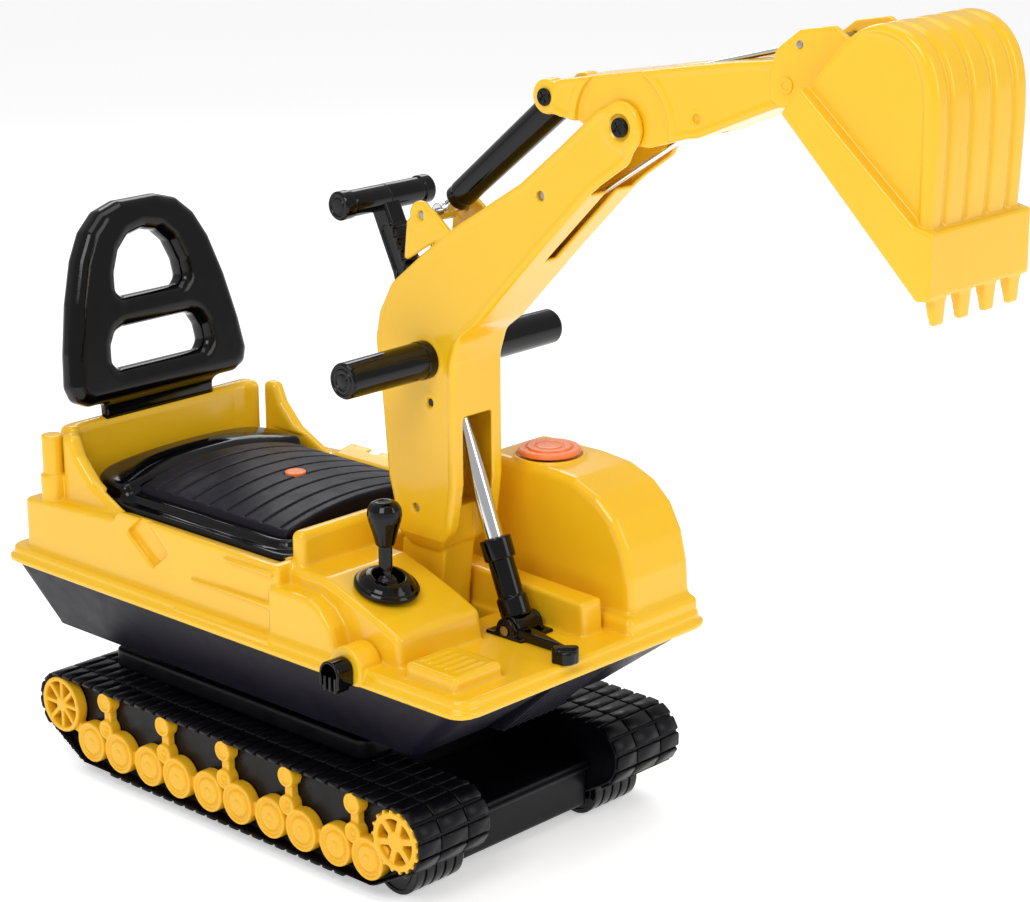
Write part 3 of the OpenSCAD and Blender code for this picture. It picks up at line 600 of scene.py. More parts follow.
for side, name in ((-1, "right"), (1, "left")):
    build_track(side, "track_" + name)
    build_trim(side, "track_trim_" + name)
    for x, end in ((ROLLER_X, "front"), (-ROLLER_X, "rear")):
        roller, y0 = f"roller_{end}_{name}", side * 103.5 - 26
        rows = [(4.05, 0), (17, 0), (17, 1.2), (20, 1.2), (20, 0), (23, 0)]
        for k in range(5):
            rows += [(24, 0.5 + 10.6 * k), (24, 8.1 + 10.6 * k)]
            if k < 4:
                rows += [(22.4, 8.6 + 10.6 * k), (22.4, 10.6 + 10.6 * k)]
        rows += [(23, 52), (20, 52), (20, 50.8), (17, 50.8), (17, 52), (4.05, 52), (4.05, 0)]
        part(roller, lathe(rows, (x, y0, ROLLER_R), (0, 1, 0), 72, 0.5), roller, "gloss")

beam = Mould((-208, -TRACK_IN - 3, 9), (208, TRACK_IN + 3, 60), 1.6)
beam.add(box((-200, -TRACK_IN, 13), (200, TRACK_IN, 51), 3))
beam.add(box((-202, -TRACK_IN, 50.5), (202, TRACK_IN, 54), 1.4), k=1.5)
beam.add(box((-204, -TRACK_IN, 46), (204, TRACK_IN, 49.5), 1.4), k=1.5)
pad = Mould((-192, -112, 50), (134, 112, 108), 1.6)
pad.add(box((-150, -TRACK_IN + 2, 52), (112, TRACK_IN - 2, 90), 3))
pad.add(extrude(outline([(-187, -108), (128, -108), (128, 108), (-187, 108)], 14),
                "z", 87, 103.9, 2), k=3)
part("cross_frame", merge(beam.mesh(), pad.mesh()), "undercarriage", "rubber")


# ---- House ---------------------------------------------------------------------------


def rounded_ring(x0, x1, y0, y1, z, r, steps=7):
    """Points round a flat rounded rectangle, lying at the height z."""
    out = []
    for cx, cy, start in ((x1 - r, y1 - r, 0), (x0 + r, y1 - r, 90), (x0 + r, y0 + r, 180),
                          (x1 - r, y0 + r, 270)):
        out += [(*p, z) for p in arc((cx, cy), r, start, start + 90, steps)]
    return out


tub = [rounded_ring(-252, 188, -112, 112, 111, 8), rounded_ring(-254.5, 190.5, -114.3, 114.3, 112.2, 9)]
for t in np.linspace(0.06, 1, 7):
    tub.append(rounded_ring(-254 - 28 * t, 190 + 77 * t, -114 - 26 * t, 114 + 26 * t,
                            112 + 58.6 * t, 9 + 9 * t))
grille = []
foot_line = [(186, 113), (205, 113), (268, 170.4), (240, 170.4)]
crest_line = [(186, 113), (206.5, 112.6), (269, 170.6), (240, 170.6)]
for y in range(-30, 31, 8):
    grille.append(loft([[(x, y + d, z) for x, z in line] for d, line in
                        ((-2.4, foot_line), (-1.6, crest_line), (1.6, crest_line), (2.4, foot_line))]))
panel = loft([[(188, y, 113), (203.5, y, 113), (266.6, y, 170.5), (240, y, 170.5)]
              for y in (-34, 34)])
turntable = lathe([(12, 111.5), (66, 111.5), (66, 108.4), (12, 108.4), (12, 111.5)],
                  (0, 0, 0), (0, 0, 1), 72, 0.4)
solid("tub", merge(loft(tub), panel, *grille, turntable), "house", "satin", ["tub"], facets=True)


def meet(a, b, k=4.0):
    """The space two shapes share, with its edges softened."""
    lo = [max(p, q) for p, q in zip(a[0], b[0])]
    hi = [min(p, q) for p, q in zip(a[1], b[1])]
    return lo, hi, lambda x, y, z: -soft_min(-a[2](x, y, z), -b[2](x, y, z), k)


def plan(x0, x1, y0, y1, corner, z0, z1, r):
    """An upright block with rounded corners in plan and the edge radius r."""
    return extrude(outline([(x0, y0), (x1, y0), (x1, y1), (x0, y1)], corner), "z", z0, z1, r)


deck = Mould((-292, -152, 167), (278, 150, 306), 1.45)
deck.add(plan(-287, 273, -145, 145, 20, 171, 176.5, 1.8))
deck.add(plan(-283.5, 269.5, -141.8, 141.8, 18, 171, 184.6, 3.5), k=4)
shelf = outline([(-268, 172), (-266.5, 229), (-143, 236), (-137, 245), (62, 241.5), (62, 172)], 4)
deck.add(meet(extrude(shelf, "y", -136, 136, 0.2), plan(-268, 90, -135.5, 135.5, 12, 170, 260, 0.2), 6),
         k=4)
# the arch panel at the front end of the side wall, and the slanted notch near its rear end
arch = outline([(52, 172), (52, 225), (99, 225), (113, 218), (124, 206), (130, 190), (131, 172)], 7)
deck.add(extrude(arch, "y", -137.5, -117, 4), k=3)
# the sill beside the seat falls towards it
bevel = outline([(112, 236), (131, 243.5), (131, 262), (112, 262)])
deck.cut(both(extrude(bevel, "x", -150, 52, 1)), k=3)
for side in (-1, 1):
    y0, y1 = sorted((side * 128.5, side * 142))
    deck.cut(extrude(outline([(-126, 229), (-93, 205), (-73, 221), (-104, 247)], 3), "y", y0, y1, 1.0),
             k=1.5)
# three long ribs on each side wall
for z, x0, x1 in ((234.5, -14, 58), (208, -46, 58), (180, -58, 58)):
    rib = outline([(x0, z - 0.3), (x1, z - 2.2), (x1, z + 2.2), (x0, z + 0.3)])
    y = 136.6 if z > 190 else 141.8
    deck.add(both(extrude(rib, "y", y - 3, y + 2.2, 1.2)), k=0.8)
# the console, its step with five ribs, and the ridge in front of the seat
console = outline([(50, 172), (50, 238.4), (100, 238), (128, 229), (160, 217.6), (182, 208), (187, 178),
                   (187, 172)], 7)
deck.add(extrude(console, "y", -121, -30, 5), k=3)
deck.add(box((198, -130, 172), (252, -78, 197), 4), k=3)
for n in range(5):
    deck.add(box((205 + 8.6 * n, -119, 195.4), (208.5 + 8.6 * n, -89, 198.0), 1.2), k=1)
deck.add(both(box((57.5, 31, 226), (72, 117, 267), 6.5)), k=4)
# the left side: block behind the boom, low step and round-fronted hood
deck.add(box((50, 30, 172), (100, 134, 238), 5), k=3)
deck.add(extrude(outline([(80, 172), (80, 218), (241, 212), (243, 172)], 3), "y", 23, 47, 3.5), k=3)
deck.add(box((80, 50, 172), (267, 136, 197), 6), k=3)
hood = outline([(95, 172), (95, 300), (168, 300), (198, 297), (222, 287.5), (240, 272), (252, 250),
                (258, 225), (260, 198), (260, 172)], 12)
deck.add(extrude(hood, "y", 60, 134, 7), k=5)
deck.add(extrude(disc(HORN, 29.5), "z", 290, 302.2, 1.5), k=2)
deck.cut(extrude(disc(HORN, 26.9), "z", 299.4, 320, 0.5))
# the seat's shell: a back wall with rounded ends and two thick wings with a round rim
deck.add(plan(-252, -226, -107, 110, 13, 205, 290.5, 7), k=4)
wing = outline([(-228, 205), (-228, 290.5), (-214, 290), (-206, 273), (-187, 254), (-166, 244), (-150, 236),
                (-145, 224), (-145, 205)], 6)
for y in (-121, 107):
    deck.add(extrude(wing, "y", y, y + 17, 7.4), k=4)
deck.cut(meet(plan(-236.8, 20, -106, 109, 26, 227, 340, 3),
              turned(box((-236.8, -140, 200), (60, 140, 380), 3), (-236.8, 0, 228), -4), 6), k=8)
deck.add(extrude(disc(STACK, 11.5), "z", 200, 253.5, 1.5), k=2)
deck.add(extrude(disc(STACK, 9.2), "z", 240, 288, 1.5), k=1)
deck.cut(meet(plan(-222, 53, -113, 113, 20, 226.5, 330, 5), box((-236, -114, 220), (80, 114, 247), 0.5),
              1), k=4)
# openings for the boom, its cylinder, the lever, the horn, the backrest and the clip
deck.cut(box((63, -21, 150), (150, 21, 330), 2), box((50, -30, 238), (112, 30, 340), 1.5),
         box((62, -30, 214), (112, 30, 300), 1.5), box((181, -17.4, 150), (210, 17.4, 200), 1))
deck.cut(extrude(disc(KNOB, 14), "z", 195, 270, 0.5), extrude(disc(HORN, 14.2), "z", 281, 320, 0.5),
         extrude(disc(HORN, 7.4), "z", 268, 320, 0.3), box((-247.2, -61, 262), (-239.8, 61, 300), 0.5))
deck.add(peg(CLIP, 17.5, -146, -122, 1.8), k=1.5)
deck.cut(peg(CLIP, 8.1, -155, -118, 0.3))
deck.cut(box((-300, -150, 150), (300, 150, 171), 0.1), k=0.3)
part("deck", deck.mesh(), "house", "yellow")

# ---- Seat and backrest ---------------------------------------------------------------

CROWN_R, SEAT_Z, BED = 300, 262, 226
crown_c = (0, SEAT_Z - CROWN_R)
skirt = Mould((-224, -112, 224), (54, 112, 268), 1.2)
skirt.add(plan(-220, 50, -109, 109, 24, BED + 0.3, BED + 12.5, 4))
bolster = outline([(-219, BED), (-219, BED + 28), (-210, BED + 37.5), (-196, BED + 39), (-182, BED + 35),
                   (-168, BED + 27), (-163, BED + 10), (-163, BED)], 8)
arched = extrude(disc((0, BED + 38 - 420), 420), "x", -230, -150, 1)
skirt.add(meet(meet(extrude(bolster, "y", -104, 104, 9), plan(-219, -60, -104, 104, 38, BED, 290, 3), 6),
               arched, 5), k=8)
skirt.add(plan(-205, 33, -98, 98, 24, BED + 4, BED + 18.5, 4), k=5)
skirt.cut(extrude(disc(CAP, 9.1), "z", SEAT_Z - 4, 300, 0.3), k=0.6)
panel_top = Mould((-170, -92, 228), (26, 92, 268), 1.0)
panel_top.add(meet(extrude(disc(crown_c, CROWN_R), "x", -166, 22, 3.5),
                   plan(-166, 22, -89, 89, 7, BED + 6, 300, 0.5), 5), k=3)
for n in range(8):
    x = -144 + 22 * n
    groove = extrude(minus(disc(crown_c, CROWN_R + 9), disc(crown_c, CROWN_R - 1.7)), "x", x - 1.0,
                     x + 1.0, 0.4)
    panel_top.cut(meet(groove, box((x - 3, -83, BED + 15), (x + 3, 83, 300), 0.5), 0.5), k=1.2)
panel_top.cut(extrude(disc(CAP, 9.1), "z", SEAT_Z - 4, 300, 0.3), k=0.6)
solid("seat_skirt", skirt.mesh(), "house", "gloss", ["seat"])
solid("seat_panel", panel_top.mesh(), "house", "satin", ["seat"])
part("seat_cap", lathe([(0, 0), (9, 0), (9, 5.2), (6.5, 6.0), (6, 5.6), (0, 5.8)], (*CAP, SEAT_Z - 4),
                       (0, 0, 1), 64, 0.5), "house", "orange")

BACK = (-240, 0, 303)
frame_half = [(82, 0), (94, 6), (98.5, 19), (94.5, 48), (85, 90), (73, 126), (60, 149), (43, 164),
              (21, 170.5)]
hole_up_half = [(31, 88), (37, 94), (35.5, 109), (28, 127), (16, 138.5), (0, 142)]
hole_low_half = [(46, 27), (51.5, 34), (50, 48), (44, 58.5), (36, 61.5)]


def lifted(half, corner):
    """An outline from its left half, mirrored, at the backrest's height."""
    points = half + [(-y, z) for y, z in reversed(half) if y]
    return outline([(y, z + BACK[2]) for y, z in points], corner)


back = Mould((-288, -102, 260), (-222, 102, 477), 1.35)
body = extrude(minus(lifted(frame_half, 9), lifted(hole_up_half, 6), lifted(hole_low_half, 6)),
               "x", -253, -227, 11)
back.add(turned(body, BACK, -9))
back.add(box((-249, -60, 288), (-238, 60, 318), 3), k=8)
back.add(box((-246.4, -60, 264.2), (-240.6, 60, 308), 0.6), k=2)
part("backrest", back.mesh(), "house", "gloss")

# ---- Controls on the deck ------------------------------------------------------------

profile = [(0, -26), (7, -26), (7, 6.1), (13.8, 6.1), (13.8, 3), (26, 3), (26, 6.0), (24.5, 7.3),
           (20, 7.3), (19.3, 6.2), (18.4, 6.2), (17.8, 8.4), (12.4, 8.4), (11.8, 7.6), (10.8, 7.6),
           (10.2, 8.6), (0, 8.9)]
part("horn_button", lathe(profile, (*HORN, 300), (0, 0, 1), 96, 0.8), "horn_button", "orange")
tilt = (math.sin(math.radians(15)), 0, math.cos(math.radians(15)))
profile = [(13, 0.3), (25, 0.3), (26.2, 2), (26.2, 4.6), (24.5, 6.4), (22.6, 6.6), (20.8, 8.8),
           (17.5, 11.6), (14.2, 12.6), (12.9, 12.0), (12.9, 0.3), (13, 0.3)]
part("gear_lever_base", lathe(profile, (*KNOB, 228), tilt, 96, 1.2), "house", "gloss")
profile = [(0, -9), (8.5, -9), (10.9, -6), (12.2, -2), (12.2, 2), (10.9, 6), (8.7, 8.8), (6.5, 10.6),
           (5.2, 12.2), (5.2, 16), (5.5, 19), (5.5, 50), (0, 50)]
part("gear_lever_stem", lathe(profile, (*KNOB, 228), (0, 0, 1), 64, 2), "gear_lever", "gloss")
profile = [(5.52, 36), (7.2, 36), (7.8, 37.5), (10.2, 47), (13.0, 56), (13.9, 61), (13.3, 66), (10.8, 70),
           (6.5, 72), (4.6, 71.6), (4.2, 71.0), (0, 71.2)]
part("gear_lever_knob", lathe(profile, (*KNOB, 228), (0, 0, 1), 96, 3), "gear_lever", "gloss")

clip = Mould((134, -166, 165), (164, -114, 198), 0.7)
clip.add(peg(CLIP, 10.5, -163, -146.5, 1.2),
         box((138.5, -163, 172), (159.5, -146.5, 184), 1), k=0.5)
clip.cut(peg(CLIP, 8.3, -170, -149, 0.3), box((140.7, -170, 160), (157.3, -149, 184), 0.3))
clip.add(peg(CLIP, 7.6, -150, -118, 0.6), k=1)
for x in (143.2, 149, 154.8):
    clip.add(box((x - 1.4, -162, 168.5), (x + 1.4, -148, 181), 0.6), k=0.6)
part("side_clip", clip.mesh(), "house", "gloss")

foot = Mould((160, -40, 166), (282, 26, 206), 1.0)
foot.add(box((176, -19, 183.9), (215, 19, 187.2), 0.8))
foot.cut(box((182, -13.4, 160), (209, 13.4, 220), 0.5))
for y0, y1 in ((-17, -13.5), (13.5, 17)):
    foot.add(extrude(disc(BARREL, 10), "y", y0, y1, 0.8), box((185.5, y0, 170), (205.5, y1, 190), 0.8), k=1)
foot.add(meet(box((206, -15, 184), (268, 26, 193), 1.5),
              extrude(strip((210, -8), (268, -23), 15, 14), "z", 183.9, 193.5, 1.5), 1.5), k=2)
foot.add(extrude(disc((267, -24), 8.8), "z", 183.9, 195, 2), k=2)
foot.add(extrude(strip((262, -30), (272, -20), 7), "z", 183.9, 198, 1.2), k=1)
foot.cut(drum(BARREL, 4, 30, 0.2))
part("cylinder_bracket", foot.mesh(), "house", "gloss")


# ---- Boom ----------------------------------------------------------------------------

boom_edge = [(88, 240), (84, 274), (78, 295), (72, 362), (66, 407), (71, 430), (85, 455), (118, 482),
             (153, 508), (224, 552), (262, 583), (308, 622), (336, 596), (329, 579), (303, 561),
             (293, 553), (238, 498), (177, 435), (159, 421), (152, 400), (152, 300), (146, 262),
             (128, 240)]
boom_flat = outline(boom_edge, 16)
foot_flat = outline([(76.5, 186), (82, 243), (131, 243), (123.5, 186)], 3)
SHELL, CHEEK = 28, 23
boom = Mould((60, -31, 163), (346, 31, 628), 1.35)
boom.add(extrude(boom_flat, "y", -SHELL, SHELL, 3), drum(ELBOW, 19, SHELL, 2), k=3)
boom.add(extrude(foot_flat, "y", -17, 17, 2), drum(BOOM, 24, 17, 2), k=3)
boom.cut(extrude(grown(foot_flat, -3), "y", -14, 14, 1),
         meet(extrude(grown(boom_flat, -3), "y", -25.4, 25.4, 2), box((0, -60, 276), (400, 60, 700), 3), 3))
boom.cut(drum(ELBOW, 62, CHEEK, 1))
# a low raised border round each face, with the face sunk inside it
boom.cut(both(extrude(grown(boom_flat, -5.5), "y", SHELL - 0.9, SHELL + 4, 0.4)), k=0.8)
boom.add(both(peg(ELBOW, 17, CHEEK, SHELL, 1.2)), k=1.5)
ear = outline([(104, 508), (100, 474), (150, 505), (130, 520)], 3)
boom.add(both(extrude(ear, "y", CHEEK, SHELL, 1.5)), both(peg(EAR, 11.5, CHEEK, SHELL, 1.5)),
         both(peg(LIFT, 8, 9, SHELL - 1, 1)), both(peg(BAR, 13, 10, SHELL, 1)), k=2)
boom.add(both(peg(BAR, 17.5, SHELL - 4, SHELL - 0.2, 1)), k=2)
boom.add(drum(BOOM, 10, 17, 0.5))
for c in BOSSES:
    boom.add(both(peg(c, 5.5, 4, SHELL - 1.2, 0.5)), k=1)
for c in BOSSES[:2]:
    boom.cut(both(peg(c, 3.8, SHELL - 6, SHELL + 5, 0.4)), k=0.8)
boom.cut(both(peg(ELBOW, 9.6, SHELL - 2.0, SHELL + 9, 0.5)), both(peg(EAR, 4.2, 26.3, SHELL + 9, 0.3)),
         k=0.8)
boom.cut(drum(ELBOW, 4, 40, 0.1), drum(EAR, 3, 40, 0.1),
         drum(BOOM, 5.05, 40, 0.1), drum(BAR, 8, 40, 0.1))
boom.cut(both(peg(LIFT, 3.6, SHELL - 3, SHELL + 5, 0.3)), k=0.8)
boom.cut(box((133, -16, 239), (165, 16, 355), 3), k=1.5)
boom.cut(extrude(outline([(50, 412), (82, 412), (106, 455), (106, 485), (60, 485)], 2), "y", -11, 11, 1.5))
boom.cut(extrude(outline([(236, 484), (224, 497), (288, 568), (310, 568), (310, 545)], 2), "y", -5.5, 5.5, 1))
# the wide body narrows to the foot
taper = outline([(16.8, 215), (46, 215), (46, 270), (29.2, 270), (25.5, 252), (17.4, 238)])
boom.cut(both(extrude(taper, "x", 40, 180, 0.2)), k=1.0)
solid("boom_shell", boom.mesh(), "boom", "yellow", ["boom_shell_right", "boom_shell_left"])


def across(a, b):
    """The unit direction from one [x, z] place to another."""
    d = np.array((b[0] - a[0], 0, b[1] - a[1]), float)
    return d / np.linalg.norm(d)


def at(c, y=0.0):
    """An [x, z] place as a point in space."""
    return np.array((c[0], y, c[1]), float)


def eye_ring(c, r0, r1, half, sides=48):
    """A short tube across the object, as the eye at a rod's end."""
    section = [(r0, -half), (r1, -half), (r1, half), (r0, half), (r0, -half)]
    return lathe(section, at(c), (0, 1, 0), sides, 0.8)


def between(a, b):
    """The length from one [x, z] place to another."""
    return float(np.linalg.norm(at(b) - at(a)))


def screw_heads(c, radius, y0, y1, shaft):
    """A pin with a cross-headed screw at each end, its cross cut into a low dome."""
    meshes = [rod(at(c, -y0 - 0.3), at(c, y0 + 0.3), shaft)]
    head = Mould((c[0] - radius - 1, y0 - 1, c[1] - radius - 1),
                 (c[0] + radius + 1, y1 + 1, c[1] + radius + 1), radius / 22)
    head.add(extrude(disc(c, radius), "y", y0, y1, min(1.2, (y1 - y0) * 0.45)))
    for turn in (35, 125):
        e = np.array([math.cos(math.radians(turn)), math.sin(math.radians(turn))]) * radius * 0.55
        head.cut(extrude(strip(np.array(c) - e, np.array(c) + e, radius * 0.24), "y", y1 - 1.5, y1 + 2,
                         0.2), k=0.3)
    points, faces = head.mesh()
    meshes += [(points, faces), (points * np.array([1, -1, 1]), faces[:, ::-1])]
    return merge(*meshes)


part("elbow_pin", screw_heads(ELBOW, 7.2, SHELL - 2.2, SHELL + 1.6, 4), "boom", "gloss")
part("ear_pin", rod(at(EAR, -26.2), at(EAR, 26.2), 3), "boom", "steel")
part("lift_rod_pin", rod(at(LIFT, -26), at(LIFT, 26), 3), "boom", "gloss")
screws = [rod(at(c, -24.4), at(c, 20), 2) for c in BOSSES]
screws += [rod(at(c, -24.6), at(c, -23), 3.3) for c in BOSSES[:2]]
part("boom_screws", merge(*screws), "boom", "steel")
part("cross_bar", rod(at(BAR, -111), at(BAR, 111), 7.96, 1), "boom", "chrome")
for side, name in ((-1, "right"), (1, "left")):
    rows = [(8.05, 27.8), (15.2, 27.8), (15.5, 29), (15.5, 35.5), (14.9, 37), (14.3, 112), (14.3, 114.2),
            (13.0, 116.4), (11.4, 116.4), (10.8, 115.5), (9.8, 115.5), (9.2, 116.4), (7.4, 116.4),
            (6.8, 115.6), (5.6, 115.6), (5.0, 116.6), (0, 116.9)]
    points, faces = lathe(rows, at(BAR), (0, side, 0), 96, 0.8)
    part("grip_" + name, (points, faces), "boom", "gloss")

# the boom's cylinder: lower sleeve, barrel, collar and chrome rod
lean = across(BARREL, LIFT)
barrel = lathe([(8.9, 8), (11.6, 8), (12.5, 9.5), (12.5, 23), (11.6, 24.5), (10.5, 25), (10.5, 58), (8.9, 58),
                (8.9, 8)], at(BARREL), lean, 96, 0.8)
eye = Mould((182, -15, 176), (209, 15, 204), 0.8)
eye.add(drum(BARREL, 11, 13, 1.5)).cut(drum(BARREL, 4.1, 20, 0.1))
part("lift_barrel", merge(barrel, eye.mesh()), "lift_barrel", "gloss")
profile = [(8.95, 54.5), (11.9, 54.5), (12.9, 55.6), (12.9, 71), (12.2, 72), (8.95, 72), (8.95, 54.5)]
part("lift_collar", lathe(profile, at(BARREL), lean, 96, 0.8), "lift_barrel", "gloss")
lift_len = between(BARREL, LIFT)
part("lift_rod", merge(lathe([(0, 44), (7.5, 44), (7.5, lift_len - 4), (0, lift_len - 4)], at(BARREL),
                             lean, 96, 1), rod(at(LIFT, -8), at(LIFT, 8), 8.5, 1)), "lift_rod", "chrome")

# the control lever with its ribbed arm and its handle
lever = Mould((34, -14, 383), (150, 14, 530), 0.9)
bend = (80, 452)
lever.add(drum(BAR, 12.5, 9, 1.5), extrude(strip(BAR, bend, 19, 18), "y", -9, 9, 2),
          extrude(strip(bend, HANDLE, 18, 17), "y", -9, 9, 2), extrude(strip(BAR, LEVER, 15, 13), "y", -9,
                                                                       9, 1.5), k=4)
spine = np.array(HANDLE, float) - np.array(bend)
for n in range(5):
    c = np.array(bend) + spine * (0.06 + 0.14 * n)
    side_way = np.array([spine[1], -spine[0]]) / np.linalg.norm(spine)
    lever.add(extrude(strip(c + side_way * 6, c + side_way * 9.5, 3), "y", -9.6, 9.6, 0.8), k=1)
lever.cut(both(extrude(strip(np.array(bend) + spine * 0.08, np.array(bend) + spine * 0.62, 8), "y", 7.6,
                       14, 0.5)), k=1)
lever.cut(drum(LEVER, 11, 3.7, 0.2), drum(BAR, 8.06, 20, 0.1), k=0.5)
lever.cut(drum(HANDLE, 8, 9, 1), k=0.5)
half = [(0, 0), (10.6, 0), (10.6, 36), (10.2, 38.2), (11.6, 38.8), (11.6, 47.6), (10.4, 49), (8.2, 49),
        (7.6, 48.2), (6.4, 48.2), (5.8, 49), (0, 49)]
handle = [lathe(half, at(HANDLE), (0, s, 0), 96, 0.7) for s in (-1, 1)]
part("control_lever", merge(lever.mesh(), *handle), "control_lever", "gloss")

# ---- Stick ---------------------------------------------------------------------------

stick_edge = [(257, 632), (340, 647), (384, 655), (419, 661), (455, 666), (468, 666), (478, 640), (455, 632),
              (391, 605), (383, 604), (344, 592), (300, 594), (279, 604), (251, 607)]
stick_flat = outline(stick_edge, 9)
stick = Mould((232, -30, 585), (492, 30, 671), 1.1)
stick.add(extrude(stick_flat, "y", -27, 27, 2.5), drum(REAR, 13, 27, 2),
          drum(BUCKET, 14, 24, 1.5), drum(ELBOW, 16, 22.4, 1), k=3)
recess = both(peg(ELBOW, 44, 22.5, 34, 0.5))
stick.cut(recess, both(peg(BUCKET, 16, 22.5, 34, 0.5)), k=1)
hollow = grown(stick_flat, -2.5)
stick.cut(extrude(minus(hollow, disc(ELBOW, 46.5), disc(BUCKET, 19)), "y", -24.5, 24.5, 1),
          extrude(hollow, "y", -20, 20, 1))
stick.cut(both(extrude(minus(grown(stick_flat, -5), disc(ELBOW, 50)), "y", 26.2, 34, 0.3)), k=0.8)
stick.add(drum(ELBOW, 9, 22, 0.5), drum(BUCKET, 9, 22, 0.5),
          both(peg(REAR, 8, 14.5, 26.4, 0.5)), both(peg(DRIVE, 6, 4, 26.3, 0.5)), k=1)
stick.cut(both(peg(DRIVE, 3.4, 23.5, 34, 0.3)), k=0.6)
stick.cut(drum(ELBOW, 4.1, 40, 0.1), drum(REAR, 3.5, 40, 0.1),
          drum(BUCKET, 4.1, 40, 0.1), box((230, -14, 590), (276, 14, 650), 1),
          box((334, -4.5, 580), (396, 4.5, 613), 1))
stick.cut(extrude(outline([(350, 643), (350, 674), (490, 694), (490, 660), (470, 657), (405, 652)]), "y",
                  -4, 4, 0.5))
solid("stick_shell", stick.mesh(), "stick", "yellow", ["stick_shell_right", "stick_shell_left"])
part("stick_rear_pin", screw_heads(REAR, 6.6, 26.8, 29.4, 3.5), "stick", "gloss")
part("drive_rod_pin", rod(at(DRIVE, -23.2), at(DRIVE, 23.2), 2.5), "stick", "steel")

push = across(LEVER, DRIVE)
part("drive_rod", merge(rod(at(LEVER) + push * 6, at(DRIVE) - push * 5, 2), eye_ring(LEVER, 4.5, 7, 3),
                        eye_ring(DRIVE, 2.55, 5.5, 3)), "drive_rod", "chrome")
draw = across(EAR, REAR)
span = between(EAR, REAR)
tube = lathe([(9, 17), (9.8, 17), (10.6, 18), (10.6, 24), (11.0, 26), (12.3, span - 22),
              (12.5, span - 14), (11.6, span - 11), (9.2, span - 9.5), (9.2, span - 4), (0, span - 4),
              (0, span - 15), (9, span - 15), (9, 17)], at(EAR), draw, 96, 0.9)
part("stick_cylinder_tube", merge(tube, rod(at(REAR, -13), at(REAR, 13), 9.4, 1.2, 72)),
     "stick_cylinder_tube", "gloss")
part("stick_cylinder_rod", merge(rod(at(EAR) + draw * 4, at(EAR) + draw * 132, 5),
                                 eye_ring(EAR, 3.05, 7, 8, 64)), "stick_cylinder_rod", "chrome")

# ---- Bucket --------------------------------------------------------------------------

HALF = 57
BODY = 52.5
bucket_edge = [(489, 637), (505, 658), (520, 676), (533, 690), (547, 699), (561, 703.4), (575, 702.8),
               (588, 697.5), (598, 688), (604.5, 675), (608, 658), (608.5, 636), (607, 600), (605.5, 574),
               (604, 540), (600, 529)]
bucket_flat = outline(smooth(bucket_edge), 0)
bucket = Mould((455, -61, 509), (615, 61, 707), 1.15)
bucket.add(extrude(bucket_flat, "y", -BODY, BODY, 5))
lip = outline([(488.5, 638), (503.5, 657), (598, 577), (610.5, 574.5), (610.8, 530), (601, 528.5)], 2.5)
bucket.add(both(extrude(lip, "y", HALF - 9, HALF + 0.6, 1.6)), k=1.2)
bucket.add(extrude(outline([(600, 574.5), (610.8, 574.5), (611.2, 531), (600, 529)], 1.6), "y", -HALF,
                   HALF, 1.4), k=1.2)
panel_edge = [(490, 645), (506, 667), (521, 683), (534, 692), (548, 696), (560, 697), (572, 695.5),
              (583, 690), (591, 681), (596, 667), (597.5, 640), (597, 577)]
bucket.cut(both(extrude(outline(smooth(panel_edge), 0), "y", BODY - 3.0, HALF + 9, 2.6)), k=4)
bucket.add(both(extrude(lip, "y", BODY - 6, HALF + 0.6, 1.6)), k=0.8)
for y in (-36, -12, 12, 36):
    shifted = minus(grown(bucket_flat, 3), grown(bucket_flat, -2.2))
    bucket.cut(meet(extrude(shifted, "y", y - 2.0, y + 2.0, 0.8), box((532, y - 5, 577), (640, y + 5,
                                                                                          730), 2), 2),
               k=3)
for d in (0, 3, 7, 12, 18):
    (a, b, c, e), dist = grown(bucket_flat, -5.4)
    moved = ((a - d, b - d, c - 1.05 * d, e - 1.05 * d),
             lambda u, w, d=d, dist=dist: dist(u + d, w + 1.05 * d))
    bucket.cut(extrude(moved, "y", -BODY + 5, BODY - 5, 2), k=1)
ears = outline([(460, 658), (464, 675), (484, 690), (512, 695), (530, 684), (514, 666), (490, 637),
                (483, 637.5), (466, 636), (460, 642)], 5)
bucket.add(both(extrude(ears, "y", 28, 33, 1.2)), k=1.5)
for n in range(4):
    y = -HALF + 7.75 + 28.5 * n
    bucket.add(meet(extrude(outline([(601, 534), (610.5, 534), (609.4, 512), (605.6, 512)], 0.6), "y",
                            y - 1, y + 15, 0.8), extrude(outline([(y - 1, 536), (y + 14.5, 536),
                                                                  (y + 12, 512), (y + 1.2, 512)], 1.2),
                                                         "x", 590, 615, 0.4), 0.6), k=0.8)
bucket.cut(drum(BUCKET, 4, 40, 0.1), drum(ROD, 2.5, 40, 0.1))
part("bucket", bucket.mesh(), "bucket", "yellow")
part("bucket_pin", merge(rod(at(BUCKET, -32), at(BUCKET, 32), 4),
                         *[lathe([(0, 31), (5.6, 31), (5.6, 34.2), (3.4, 34.2), (3.0, 33.4), (0, 33.4)],
                                 at(BUCKET), (0, k, 0), 64, 0.5) for k in (-1, 1)]), "bucket", "yellow")
part("bucket_rod_pin", rod(at(ROD, -33), at(ROD, 33), 2.5), "bucket", "steel")
pull = across(ROD, TAIL)
part("bucket_rod", merge(rod(at(ROD) + pull * 4, at(TAIL), 2), eye_ring(ROD, 2.55, 5, 3)), "bucket_rod",
     "chrome")

# ---- Frame nodes that keep their shape -------------------------------------------------

